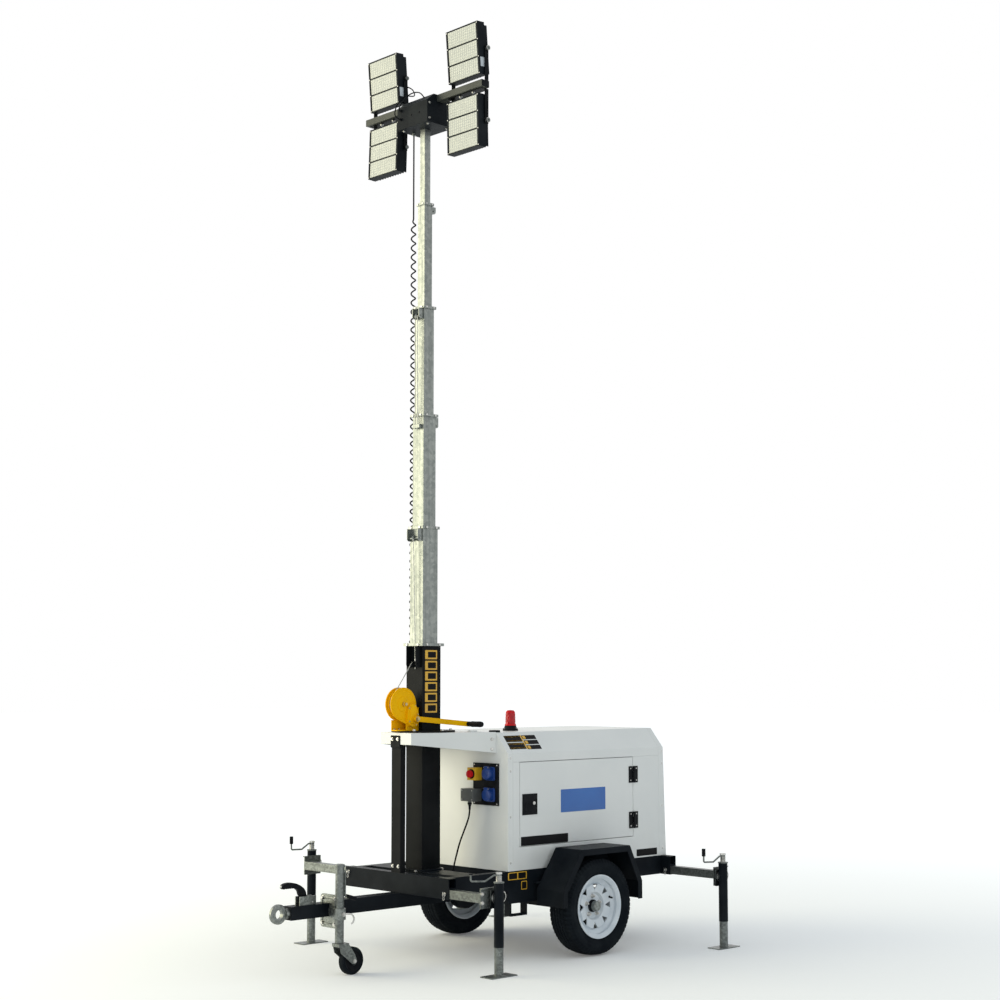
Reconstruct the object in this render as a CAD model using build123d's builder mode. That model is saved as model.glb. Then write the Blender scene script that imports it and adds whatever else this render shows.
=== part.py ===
# Mobile light tower: a trailer with a generator canopy, four outriggers and a telescopic mast
# that carries four LED floodlights.
#
# Sizes are millimetres. X runs rearward from the tow eye, Y from the near (left) side to the
# far (right) side and Z up from the ground. The origin is on the ground, at the middle of the
# trailer's length and width. Values ending in _off are distances along X from the axle.
from build123d import *
import math
import os

os.makedirs("parts", exist_ok=True)

SIDES = (("left", -1), ("right", 1))
fit = 0.06
seat = 0.3

# Road wheels
wheel_r = 280.0
tyre_w = 165.0
wheel_y = 571.0
rim_r = 182.5
rim_half = 74.0
bead_r = 166.0
hub_r = 36.0
window_in = 90.0
window_out = 128.0
window_half = 21.0
windows = 8

# Outriggers and their jacks
tube = 56.0
arm_size = 48.0
arm_len = 800.0
jack_off = 69.0
jack_r = 27.0
jack_above = 87.0
jack_below = 261.0
leg_r = 25.0
pad_len = 190.0
pad_w = 92.0
pad_t = 6.0
plate_t = 7.0
plate_h = 110.0
plate_gap = 18.0
crank_reach = 165.0
crank_wire_r = 5.0

# Stations from the axle
tow_reach = 1883.0
front_beam_off = -1005.0
rear_beam_off = 800.0
canopy_front_off = -520.0
canopy_rear_off = 856.0
mast_off = -799.0
axle_x = (tow_reach - canopy_rear_off) / 2

# Chassis
deck_z = 500.0
half_w = 417.0
rail_w = 50.0
front_half = 450.0
rear_half = 495.0
sleeve_z = deck_z - 2 * tube
front_x = axle_x + front_beam_off
rear_x = axle_x + rear_beam_off
cross_w = 56.0
deck_t = 6.0
deep_len = 290.0
deep_h = 70.0
pocket_gap = 118.0
pocket_h = 72.0
pocket_wall = 8.0
pocket_mid_off = -433.0
inner_half = half_w - rail_w

# Canopy
canopy_x0 = axle_x + canopy_front_off
canopy_x1 = axle_x + canopy_rear_off
eave_z = 1167.0
roof_z = 1285.0
roof_half = 321.0
panel_t = 25.0
corner_w = 40.0
roof_lip = 50.0
rear_rake = 26.0
door_x0 = axle_x - 426.0
door_x1 = axle_x + 552.0
door_z0 = 632.0
door_gap = 3.0
lip_z = eave_z - roof_lip

# Mast
mast_x = axle_x + mast_off
foot_size = 156.0
foot_t = 10.0
base_size = 140.0
base_wall = 5.0
base_top = 1800.0
base_collar = 168.0
mast_step = 682.0
step_less = 18.5
section_len = 1230.0
slide_fit = 0.3
collar_t = 16.0
bridge_z = roof_z + 3.0
bridge_half = 135.0
bridge_front_h = 67.0
sheet_t = 4.0
table_r = 185.0
table_t = 10.0
coil_y = 104.0
coil_r = 17.5
head_gap = 452.0

# Telescopic sections from the largest up: outer size, wall, collar size
SECTIONS = (
    (114.0, 4.0, 131.0),
    (95.0, 4.0, 117.0),
    (77.0, 3.5, 97.0),
    (60.0, 3.0, 76.0),
    (44.0, 3.0, 0.0),
)

# Head and lamps
head_len = 210.0
head_w = 272.0
head_h = 133.0
head_ridge = 178.0
bar_h = 40.0
bar_d = 60.0
bar_end = 524.0
bar_rise = 175.0
lamp_w = 270.0
lamp_h = 312.0
lamp_front = 56.0
lamp_rear = 32.0
lamp_mid_y = 359.0
lamp_pivot_off = 30.0
yoke_t = 4.0
yoke_w = 28.0
yoke_gap = 5.0
COLLAR_Z = [base_top + mast_step * (k + 1) - step_less * k * (k + 1) / 2 for k in range(4)]
head_z = COLLAR_Z[-1] + head_gap

# Lamps: name, side along Y, 1 above the bar or -1 below it, tilt of the face downward
LAMPS = (
    ("upper_left", -1, 1, 4.5),
    ("upper_right", 1, 1, 4.5),
    ("lower_left", -1, -1, 1.5),
    ("lower_right", 1, -1, -2.0),
)

# Outriggers: name, side along Y, front or rear beam, sleeve level, jack distance from the
# centre line, direction of the jack crank in degrees inward from -X, top of the crank's knob
OUTRIGGERS = (
    ("front_left", -1, "front", 0, 745.0, 20.0, 50.0),
    ("front_right", 1, "front", 1, 899.0, 4.0, 88.0),
    ("rear_left", -1, "rear", 0, 945.0, 4.0, 88.0),
    ("rear_right", 1, "rear", 1, 945.0, 4.0, 88.0),
)

# Bent wire of a jack crank: distance from the jack's axis, height over the jack's tube
CRANK = ((0.0, 36.0), (28.0, 36.0), (82.0, 6.0), (crank_reach, 9.0), (crank_reach, 46.0))


def save(builder, name):
    """Label a finished sub-part and write it to its own file."""
    builder.part.label = name
    export_step(builder.part, f"parts/{name}.step")


def block(x0, x1, y0, y1, z0, z1, mode=Mode.ADD):
    """A box between six limits, added to or cut from the sub-part being built."""
    with Locations(((x0 + x1) / 2, (y0 + y1) / 2, (z0 + z1) / 2)):
        Box(x1 - x0, y1 - y0, z1 - z0, mode=mode)


def rod(start, end, radius, mode=Mode.ADD):
    """A round bar from one point to another."""
    direction = Vector(*end) - Vector(*start)
    plane = Plane(origin=start, z_dir=direction)
    with Locations(plane.location):
        Cylinder(
            radius,
            direction.length,
            align=(Align.CENTER, Align.CENTER, Align.MIN),
            mode=mode,
        )


# Road wheels: each profile is distance from the axle, then distance outward from mid-wheel
for side, s in SIDES:
    wheel_plane = Plane((axle_x, s * wheel_y, wheel_r))
    axle_axis = Axis((axle_x, s * wheel_y, wheel_r), (0, 1, 0))

    with BuildPart() as tyre:
        with BuildSketch(wheel_plane):
            with BuildLine():
                ThreePointArc((272, -66), (wheel_r, 0), (272, 66))
                Polyline((272, 66), (250, 80), (226, tyre_w / 2), (rim_r + 1, 67), (bead_r, 59))
                Line((bead_r, 59), (bead_r, -59))
                Polyline((bead_r, -59), (rim_r + 1, -67), (226, -tyre_w / 2), (250, -80), (272, -66))
            make_face()
        revolve(axis=axle_axis)
    save(tyre, f"tyre_{side}")

    with BuildPart() as rim:
        with BuildSketch(wheel_plane):
            with BuildLine():
                Polyline(
                    (rim_r, s * rim_half),
                    (rim_r, s * 69),
                    (bead_r - seat, s * 59.5),
                    (bead_r - seat, s * 40),
                    (140, s * 22),
                    (140, -s * 22),
                    (bead_r - seat, -s * 40),
                    (bead_r - seat, -s * 59.5),
                    (rim_r, -s * 69),
                    (rim_r, -s * rim_half),
                    (rim_r - 7, -s * rim_half),
                    (158, -s * 60),
                    (158, -s * 42),
                    (133, -s * 24),
                    (133, s * 18),
                    (124, s * 34),
                    (84, s * 24),
                    (74, s * 8),
                    (hub_r + fit, s * 8),
                    (hub_r + fit, s * 14),
                    (70, s * 14),
                    (80, s * 30),
                    (126, s * 41),
                    (134, s * 28),
                    (158, s * 42),
                    (158, s * 60),
                    (rim_r - 7, s * rim_half),
                    close=True,
                )
            make_face()
        revolve(axis=axle_axis)
        with BuildSketch(Plane((axle_x, 0, wheel_r), x_dir=(1, 0, 0), z_dir=(0, s, 0))):
            with PolarLocations(0, windows):
                Polygon((window_in, 0), (window_out, -window_half), (window_out, window_half), align=None)
        extrude(amount=wheel_y + rim_half, mode=Mode.SUBTRACT)
    save(rim, f"rim_{side}")

# Axle beam with brake drums and the hubs that the wheels turn on
drum_r = 118.0
beam_size = 70.0
cap_r = 30.0
with BuildPart() as axle:
    block(axle_x - beam_size / 2, axle_x + beam_size / 2, -wheel_y + 80, wheel_y - 80,
          wheel_r - beam_size / 2, wheel_r + beam_size / 2)
    for side, s in SIDES:
        rod((axle_x, s * (wheel_y - 82), wheel_r), (axle_x, s * (wheel_y - 30), wheel_r), drum_r)
        rod((axle_x, s * (wheel_y - 30), wheel_r), (axle_x, s * (wheel_y + 24), wheel_r), hub_r)
        rod((axle_x, s * (wheel_y + 24), wheel_r), (axle_x, s * (wheel_y + 34), wheel_r), cap_r - 4)
        with BuildSketch(Plane.XY.offset(wheel_r)):
            with BuildLine():
                Polyline((axle_x, s * (wheel_y + 33)), (axle_x + cap_r, s * (wheel_y + 33)),
                         (axle_x + cap_r, s * (wheel_y + 52)), (axle_x + cap_r - 5, s * (wheel_y + 60)),
                         (axle_x, s * (wheel_y + 60)), close=True)
            make_face()
        revolve(axis=Axis((axle_x, 0, wheel_r), (0, 1, 0)))
        block(axle_x - 60, axle_x + 60, s * (half_w - rail_w / 2) - 20, s * (half_w - rail_w / 2) + 20,
              wheel_r + beam_size / 2, sleeve_z)
save(axle, "axle")

# Chassis: two rails, two stacked sleeve tubes at each end, cross members and deck
mid_rail = half_w - rail_w / 2
sleeve_bore = arm_size + 2 * seat
mast_cross = 150.0
with BuildPart() as chassis_frame:
    for side, s in SIDES:
        rail_in, rail_out = sorted((s * inner_half, s * half_w))
        block(front_x + tube, rear_x, rail_in, rail_out, sleeve_z, deck_z)
        block(canopy_x0, canopy_x0 + deep_len, rail_in, rail_out, sleeve_z - deep_h, sleeve_z)
        pocket_x = axle_x + pocket_mid_off
        pocket_top = sleeve_z - deep_h
        block(pocket_x - pocket_gap / 2 - pocket_wall, pocket_x + pocket_gap / 2 + pocket_wall,
              rail_in, rail_out, pocket_top - pocket_h, pocket_top)
        block(pocket_x - pocket_gap / 2, pocket_x + pocket_gap / 2, rail_in - 1, rail_out + 1,
              pocket_top - pocket_h + pocket_wall, pocket_top, mode=Mode.SUBTRACT)
    for beam_x, beam_half in ((front_x, front_half), (rear_x, rear_half)):
        block(beam_x, beam_x + tube, -beam_half, beam_half, sleeve_z, deck_z)
        for level in (0, 1):
            level_z = sleeve_z + tube * (level + 0.5)
            block(beam_x + tube / 2 - sleeve_bore / 2, beam_x + tube / 2 + sleeve_bore / 2,
                  -beam_half - 1, beam_half + 1,
                  level_z - sleeve_bore / 2, level_z + sleeve_bore / 2, mode=Mode.SUBTRACT)
    block(canopy_x0, canopy_x0 + cross_w, -inner_half, inner_half, sleeve_z, deck_z)
    block(mast_x - mast_cross / 2, mast_x + mast_cross / 2, -inner_half, inner_half, deck_z - tube, deck_z)
    for cross_off in (-28.0, 420.0):
        block(axle_x + cross_off, axle_x + cross_off + cross_w, -inner_half, inner_half, deck_z - tube, deck_z)
    block(canopy_x0 + cross_w, rear_x, -inner_half, inner_half, deck_z - deck_t, deck_z)
save(chassis_frame, "chassis_frame")

# Fuel tank between the deep parts of the rails
tank_gap = 4.0
with BuildPart() as fuel_tank:
    block(canopy_x0 + cross_w + tank_gap, canopy_x0 + deep_len, -inner_half + seat, inner_half - seat,
          sleeve_z - deep_h, deck_z - deck_t - seat)
    fillet(fuel_tank.edges().filter_by(Axis.Y), radius=18)
save(fuel_tank, "fuel_tank")

# Post at the front of the bridge
post_w = 80.0
post_d = 37.0
post_wall = 5.0
post_top = bridge_z - sheet_t
with BuildPart() as post:
    block(front_x, front_x + post_wall, -post_w / 2, post_w / 2, deck_z, post_top)
    for side, s in SIDES:
        web0, web1 = sorted((s * post_w / 2, s * (post_w / 2 - post_wall)))
        block(front_x, front_x + post_d, web0, web1, deck_z, post_top)
save(post, "post")

# Bridge: a folded sheet beam from the canopy to the post, wider at the canopy
bridge_x0 = front_x - sheet_t
turn_r = base_size / 2 * math.sqrt(2) + 7
with BuildPart() as bridge:
    with BuildSketch(Plane.XY.offset(bridge_z)) as plan:
        with BuildLine():
            Polyline((bridge_x0, -bridge_half), (canopy_x0, -roof_half), (canopy_x0, roof_half),
                     (bridge_x0, bridge_half), close=True)
        make_face()
    extrude(amount=eave_z - bridge_z)
    with BuildSketch(Plane.XY.offset(bridge_z - sheet_t)):
        with BuildLine():
            Polyline((bridge_x0 + sheet_t, -bridge_half + sheet_t), (canopy_x0, -roof_half + sheet_t),
                     (canopy_x0, roof_half - sheet_t), (bridge_x0 + sheet_t, bridge_half - sheet_t), close=True)
        make_face()
    extrude(amount=eave_z - bridge_z, mode=Mode.SUBTRACT)
    with BuildSketch(Plane.XZ.offset(roof_half + 1)):
        with BuildLine():
            Polyline((bridge_x0 - 1, bridge_z - bridge_front_h), (bridge_x0 + sheet_t, bridge_z - bridge_front_h),
                     (canopy_x0, eave_z + 1), (canopy_x0, eave_z - 60), (bridge_x0 - 1, eave_z - 60), close=True)
        make_face()
    extrude(amount=-2 * roof_half - 2, mode=Mode.SUBTRACT)
    rod((mast_x, 0, bridge_z - 20), (mast_x, 0, bridge_z + 1), turn_r, mode=Mode.SUBTRACT)
save(bridge, "bridge")

# Canopy front and rear: the whole outline, folded back round the corners
OUTLINE = (
    (-half_w, deck_z),
    (half_w, deck_z),
    (half_w, eave_z),
    (roof_half, roof_z),
    (-roof_half, roof_z),
    (-half_w, eave_z),
)
with BuildPart() as canopy_front:
    with BuildSketch(Plane.YZ.offset(canopy_x0)):
        with BuildLine():
            Polyline(*OUTLINE, close=True)
        make_face()
    extrude(amount=corner_w)
    with BuildSketch(Plane.YZ.offset(canopy_x0 + panel_t)):
        with BuildLine():
            Polyline(*OUTLINE, close=True)
        make_face()
        offset(amount=-panel_t, kind=Kind.INTERSECTION, mode=Mode.REPLACE)
    extrude(amount=corner_w, mode=Mode.SUBTRACT)
save(canopy_front, "canopy_front")

rear_x0 = canopy_x1 - rear_rake - corner_w
with BuildPart() as canopy_rear:
    with BuildSketch(Plane.YZ.offset(rear_x0)):
        with BuildLine():
            Polyline(*OUTLINE, close=True)
        make_face()
    extrude(amount=corner_w + rear_rake)
    with BuildSketch(Plane.XZ.offset(half_w + 1)):
        with BuildLine():
            Polyline((canopy_x1, deck_z), (canopy_x1 - rear_rake, roof_z), (canopy_x1 + 5, roof_z), close=True)
        make_face()
    extrude(amount=-2 * half_w - 2, mode=Mode.SUBTRACT)
    with BuildSketch(Plane.YZ.offset(rear_x0)):
        with BuildLine():
            Polyline(*OUTLINE, close=True)
        make_face()
        offset(amount=-panel_t, kind=Kind.INTERSECTION, mode=Mode.REPLACE)
    extrude(amount=corner_w - panel_t, mode=Mode.SUBTRACT)
save(canopy_rear, "canopy_rear")

side_x0 = canopy_x0 + corner_w
with BuildPart() as canopy_roof:
    with BuildSketch(Plane.YZ.offset(side_x0)):
        with BuildLine():
            Polyline((-half_w, lip_z), (half_w, lip_z), (half_w, eave_z), (roof_half, roof_z),
                     (-roof_half, roof_z), (-half_w, eave_z), close=True)
        make_face()
        offset(amount=-panel_t, kind=Kind.INTERSECTION, mode=Mode.SUBTRACT)
        with Locations((0, lip_z + panel_t / 2)):
            Rectangle(2 * (half_w - panel_t), panel_t, mode=Mode.SUBTRACT)
    extrude(amount=rear_x0 - side_x0)
save(canopy_roof, "canopy_roof")

# Side panels are open at the top where the door closes under the roof lip
hinge_w = 40.0
hinge_h = 100.0
hinge_t = 4.0
knuckle_r = 7.0
hinge_pin_r = 3.0
hinge_y = half_w + knuckle_r + 1.0
HINGE_Z = (1009.0, 733.0)
latch_w = 120.0
latch_h = 120.0
latch_x = axle_x - 345.0
latch_z = 872.0
for side, s in SIDES:
    face_in, face_out = sorted((s * (half_w - panel_t), s * half_w))
    with BuildPart() as canopy_side:
        block(side_x0, rear_x0, face_in, face_out, deck_z, lip_z)
        block(door_x0, door_x1, face_in - 1, face_out + 1, door_z0, lip_z + 1, mode=Mode.SUBTRACT)
    save(canopy_side, f"canopy_side_{side}")

    with BuildPart() as door:
        block(door_x0 + door_gap, door_x1 - door_gap, face_in, face_out, door_z0 + door_gap, lip_z - door_gap)
    save(door, f"door_{side}")

    leaf_in, leaf_out = sorted((s * half_w, s * (half_w + hinge_t)))
    with BuildPart() as door_hardware:
        for z in HINGE_Z:
            block(door_x1 - hinge_w, door_x1 - knuckle_r - 1, leaf_in, leaf_out, z - hinge_h / 2, z + hinge_h / 2)
            block(door_x1 - knuckle_r - 1, door_x1, leaf_in, leaf_out, z - 19, z + 19)
            rod((door_x1, s * hinge_y, z - 19), (door_x1, s * hinge_y, z + 19), knuckle_r)
            rod((door_x1, s * hinge_y, z - 20), (door_x1, s * hinge_y, z + 20), hinge_pin_r + fit,
                mode=Mode.SUBTRACT)
        block(latch_x - latch_w / 2, latch_x + latch_w / 2, leaf_in, leaf_out,
              latch_z - latch_h / 2, latch_z + latch_h / 2)
    save(door_hardware, f"door_hardware_{side}")

with BuildPart() as hinge_leaves:
    for side, s in SIDES:
        leaf_in, leaf_out = sorted((s * half_w, s * (half_w + hinge_t)))
        for z in HINGE_Z:
            block(door_x1 + knuckle_r + 1, door_x1 + hinge_w, leaf_in, leaf_out, z - hinge_h / 2, z + hinge_h / 2)
            for end in (-1, 1):
                low, high = sorted((z + end * 20, z + end * hinge_h / 2))
                block(door_x1, door_x1 + knuckle_r + 1, leaf_in, leaf_out, low, high)
                rod((door_x1, s * hinge_y, low), (door_x1, s * hinge_y, high), knuckle_r)
            rod((door_x1, s * hinge_y, z - 25), (door_x1, s * hinge_y, z + 25), hinge_pin_r)
save(hinge_leaves, "hinge_leaves")

# Engine and generator, as one block on the deck
with BuildPart() as engine_block:
    block(axle_x - 350, axle_x + 560, -250, 250, deck_z, deck_z + 470)
save(engine_block, "engine_block")

# Socket panel on the canopy front
panel_y0 = -345.0
panel_y1 = -136.0
panel_z0 = 867.0
panel_z1 = 1108.0
panel_d = 10.0
socket_r = 34.0
with BuildPart() as control_panel:
    block(canopy_x0 - panel_d, canopy_x0, panel_y0, panel_y1, panel_z0, panel_z1)
    for y, z in ((-282.0, 1049.0), (-282.0, 928.0)):
        rod((canopy_x0 - panel_d, y, z), (canopy_x0 - panel_d - 32, y, z), socket_r)
    block(canopy_x0 - panel_d - 50, canopy_x0 - panel_d, -210, -138, 1009, 1081)
    rod((canopy_x0 - panel_d - 50, -174, 1045), (canopy_x0 - panel_d - 74, -174, 1045), 20)
save(control_panel, "control_panel")

# Plug in the panel's inlet, with its gland, and the lead that hangs down to the chassis
plug_y = -156.0
plug_z = 924.0
plug_x0 = canopy_x0 - panel_d - 70
gland_tip = (plug_x0 + 24, plug_y, 868.0)
with BuildPart() as panel_plug:
    block(plug_x0, canopy_x0 - panel_d, plug_y - 52, plug_y + 52, plug_z - 36, plug_z + 36)
    rod((gland_tip[0], gland_tip[1], plug_z - 36), gland_tip, 10)
save(panel_plug, "panel_plug")


def lead(points, radius, name):
    """A cord's tube along straight runs joined by arcs as large as the runs allow."""
    vectors = [Vector(*p) for p in points]
    radii = []
    for before, here, after in zip(vectors, vectors[1:], vectors[2:]):
        turn = (here - before).get_angle(after - here)
        shorter = min((here - before).length, (after - here).length)
        radii.append(0.45 * shorter / math.tan(math.radians(turn) / 2))
    print(name, "bend radii", [round(r) for r in radii])
    with BuildPart() as cord:
        with BuildLine() as path:
            FilletPolyline(*points, radius=radii)
        with BuildSketch(Plane(origin=path.line @ 0, z_dir=path.line % 0)):
            Circle(radius)
        sweep()
    run = sum(edge.length for edge in path.edges())
    print(name, "length", round(run), "volume ratio", round(cord.part.volume / (math.pi * radius ** 2 * run), 3))
    save(cord, name)


lead_r = 5.0
lead_gland_h = 14.0
LEAD_POINTS = (
    gland_tip,
    (gland_tip[0], plug_y, 812.0),
    (gland_tip[0] - 4, plug_y + 20, 758.0),
    (gland_tip[0] - 10, plug_y + 46, 700.0),
    (gland_tip[0] - 17, plug_y + 70, 640.0),
    (gland_tip[0] - 21, plug_y + 88, 580.0),
    (gland_tip[0] - 23, plug_y + 106, 522.0),
    (gland_tip[0] - 25, plug_y + 121, 468.0),
    (gland_tip[0] - 26, plug_y + 130, 432.0),
    (gland_tip[0] - 26, plug_y + 132, sleeve_z + lead_gland_h),
)
lead(LEAD_POINTS, lead_r, "panel_lead")

# Warning beacon on the roof
beacon_x = axle_x - 215.0
beacon_y = -125.0
with BuildPart() as beacon:
    with BuildSketch(Plane((beacon_x, beacon_y, roof_z), x_dir=(1, 0, 0), z_dir=(0, -1, 0))):
        with BuildLine():
            Polyline((0, 0), (46, 0), (46, 10), (36, 22), (34, 40), (29, 42), (28, 111), (20, 121), (0, 124),
                     close=True)
        make_face()
    revolve(axis=Axis((beacon_x, beacon_y, 0), (0, 0, 1)))
save(beacon, "beacon")

# Mudguards: folded sheet over each tyre, with a flange down the outer edge and two brackets
guard_in = 455.0
guard_out = 668.0
guard_t = 4.0
guard_flange = 35.0
guard_low = wheel_r + 20
guard_top = 2 * wheel_r + 57
guard_front = -wheel_r - 45
guard_rear = wheel_r + 66
GUARD = (
    (guard_front, guard_low),
    (guard_front, wheel_r + 112),
    (110 - wheel_r, guard_top),
    (wheel_r - 40, guard_top),
    (guard_rear, wheel_r + 125),
    (guard_rear, guard_low),
)
bracket_z = wheel_r + 140
guard_skirt_z = wheel_r + 95
with BuildPart() as mudguards:
    for side, s in SIDES:
        low_y, high_y = sorted((s * guard_in, s * guard_out))
        with BuildSketch(Plane.XZ.offset(-low_y)):
            with BuildLine():
                Polyline(*[(axle_x + x, z) for x, z in GUARD])
                offset(amount=guard_t, side=Side.RIGHT, kind=Kind.INTERSECTION)
            make_face()
        extrude(amount=low_y - high_y)
        low_y, high_y = sorted((s * guard_out, s * (guard_out - guard_t)))
        with BuildSketch(Plane.XZ.offset(-low_y)):
            with BuildLine():
                Polyline(*[(axle_x + x, z) for x, z in GUARD])
                offset(amount=guard_flange, side=Side.RIGHT, kind=Kind.INTERSECTION)
            make_face()
        extrude(amount=low_y - high_y)
        low_y, high_y = sorted((s * guard_in, s * (guard_in + guard_t)))
        with BuildSketch(Plane.XZ.offset(-low_y)):
            with BuildLine():
                Polyline((axle_x + guard_front, guard_skirt_z), *[(axle_x + x, z) for x, z in GUARD[1:5]],
                         (axle_x + guard_rear, guard_skirt_z), close=True)
            make_face()
        extrude(amount=low_y - high_y)
        low_y, high_y = sorted((s * half_w, s * (guard_in + 2)))
        block(axle_x + guard_front + 7, axle_x + guard_front + 75, low_y, high_y, bracket_z, bracket_z + 6)
        block(axle_x + guard_rear - 56, axle_x + guard_rear - 4, low_y, high_y, bracket_z, bracket_z + 6)
save(mudguards, "mudguards")

# Drawbar: main square tube under the front of the chassis
drawbar_size = 80.0
drawbar_wall = 5.0
eye_r = 53.0
eye_x = axle_x - tow_reach + eye_r
coupling_x0 = eye_x + 64
flange_x = coupling_x0 + 256
flange_t = 10.0
flange_w = 150.0
flange_h = 180.0
flange_mid_y = -33.0
ring_r = 36.0
ring_rise = 8.0
ring_y = -74.0
with BuildPart() as drawbar:
    block(flange_x + flange_t, canopy_x0 + cross_w, -drawbar_size / 2, drawbar_size / 2,
          sleeve_z - drawbar_size, sleeve_z)
    block(flange_x + flange_t, canopy_x0 + cross_w, -drawbar_size / 2 + drawbar_wall,
          drawbar_size / 2 - drawbar_wall, sleeve_z - drawbar_size + drawbar_wall,
          sleeve_z - drawbar_wall, mode=Mode.SUBTRACT)
    rod((LEAD_POINTS[-1][0], LEAD_POINTS[-1][1], sleeve_z - 1), LEAD_POINTS[-1], 2 * lead_r)
save(drawbar, "drawbar")

# Coupling: flange plate, coupling tube, jockey clamp and brake lever bracket
coupling_size = 72.0
coupling_z = 342.0
shank_r = 18.0
shank_len = 150.0
jockey_x = flange_x - 10
jockey_y = -138.0
jockey_r = 24.0
clamp_r = 34.0
lever_x = coupling_x0 + 106
lever_z = 402.0
lever_pin_r = 8.0
ear_in = 16.0
ear_out = 22.0
coupling_top = coupling_z + coupling_size / 2
with BuildPart() as coupling:
    with BuildSketch(Plane((flange_x, flange_mid_y, coupling_z - 7), x_dir=(0, -1, 0), z_dir=(1, 0, 0))):
        RectangleRounded(flange_w, flange_h, 22)
    extrude(amount=flange_t)
    with BuildSketch(Plane((flange_x - ring_rise, ring_y, coupling_z - 7), x_dir=(0, -1, 0), z_dir=(1, 0, 0))):
        Circle(ring_r)
        Circle(ring_r - 9, mode=Mode.SUBTRACT)
    extrude(amount=ring_rise)
    block(coupling_x0, flange_x, -coupling_size / 2, coupling_size / 2,
          coupling_z - coupling_size / 2, coupling_top)
    rod((coupling_x0 - 1, 0, coupling_z), (coupling_x0 + shank_len, 0, coupling_z), shank_r + fit,
        mode=Mode.SUBTRACT)
    block(flange_x - 18, flange_x + flange_t, jockey_y + 26, -70, 300, 360)
    rod((jockey_x, jockey_y, 300), (jockey_x, jockey_y, 360), clamp_r)
    rod((jockey_x, jockey_y, 299), (jockey_x, jockey_y, 361), jockey_r, mode=Mode.SUBTRACT)
    for side, s in SIDES:
        low_y, high_y = sorted((s * ear_in, s * ear_out))
        block(lever_x - 40, lever_x + 70, low_y, high_y, coupling_top, lever_z + 23)
    rod((lever_x, -ear_out - 4, lever_z), (lever_x, ear_out + 4, lever_z), lever_pin_r)
save(coupling, "coupling")

# Tow eye: a ring on a shank that swivels in the coupling
eye_hole_r = 25.0
eye_t = 29.0
collar_r = 27.5
swivel_gap = 1.0
with BuildPart() as tow_eye:
    with BuildSketch(Plane((eye_x, 0, coupling_z))):
        with BuildLine():
            Polyline((eye_hole_r - 3, -eye_t / 2), (eye_r - 8, -eye_t / 2), (eye_r, -eye_t / 2 + 7),
                     (eye_r, eye_t / 2 - 7), (eye_r - 8, eye_t / 2), (eye_hole_r - 3, eye_t / 2), close=True)
        make_face()
    revolve(axis=Axis((eye_x, 0, coupling_z), (0, 1, 0)))
    rod((eye_x + eye_r - 12, 0, coupling_z), (coupling_x0 + shank_len - 2, 0, coupling_z), shank_r)
    rod((eye_x + eye_r - 12, 0, coupling_z), (coupling_x0 - swivel_gap, 0, coupling_z), collar_r)
    rod((eye_x, -eye_t, coupling_z), (eye_x, eye_t, coupling_z), eye_hole_r, mode=Mode.SUBTRACT)
save(tow_eye, "tow_eye")

# Parking brake lever between the ears of its bracket
lever_half = 9.0
with BuildPart() as brake_lever:
    with BuildSketch(Plane.XZ.offset(lever_half)):
        with BuildLine():
            Polyline((lever_x + 16, lever_z - 14), (lever_x + 16, lever_z + 14),
                     (lever_x - 52, lever_z + 76), (lever_x - 72, lever_z + 58),
                     (lever_x - 16, lever_z - 14), close=True)
        make_face()
    extrude(amount=-2 * lever_half)
    rod((lever_x - 56, 0, lever_z + 66), (lever_x - 150, 0, lever_z + 101), 13)
    rod((lever_x, -lever_half - 1, lever_z), (lever_x, lever_half + 1, lever_z), lever_pin_r + fit,
        mode=Mode.SUBTRACT)
save(brake_lever, "brake_lever")

# Jockey wheel: clamped tube with its crank, swivelling fork and wheel
jockey_z0 = 176.0
jockey_z1 = 591.0
fork_pin_r = 10.0
jockey_wheel_r = 74.0
jockey_wheel_w = 50.0
jockey_wheel_x = jockey_x + 82
jockey_axle_r = 7.0
with BuildPart() as jockey_tube:
    rod((jockey_x, jockey_y, jockey_z0), (jockey_x, jockey_y, jockey_z1), jockey_r)
    rod((jockey_x, jockey_y, jockey_z1 - 12), (jockey_x, jockey_y, jockey_z1), jockey_r + 3)
    rod((jockey_x, jockey_y, jockey_z0 - 1), (jockey_x, jockey_y, jockey_z0 + 70), fork_pin_r,
        mode=Mode.SUBTRACT)
    with BuildLine() as handle:
        FilletPolyline((jockey_x, jockey_y, 556), (jockey_x + 36, jockey_y, 556),
                       (jockey_x + 36, jockey_y, 424), (jockey_x + 70, jockey_y, 414), radius=10)
    with BuildSketch(Plane(origin=handle.line @ 0, z_dir=handle.line % 0)):
        Circle(6)
    sweep()
    rod((jockey_x + 46, jockey_y, 421), (jockey_x + 111, jockey_y, 402), 11)
save(jockey_tube, "jockey_tube")

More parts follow.
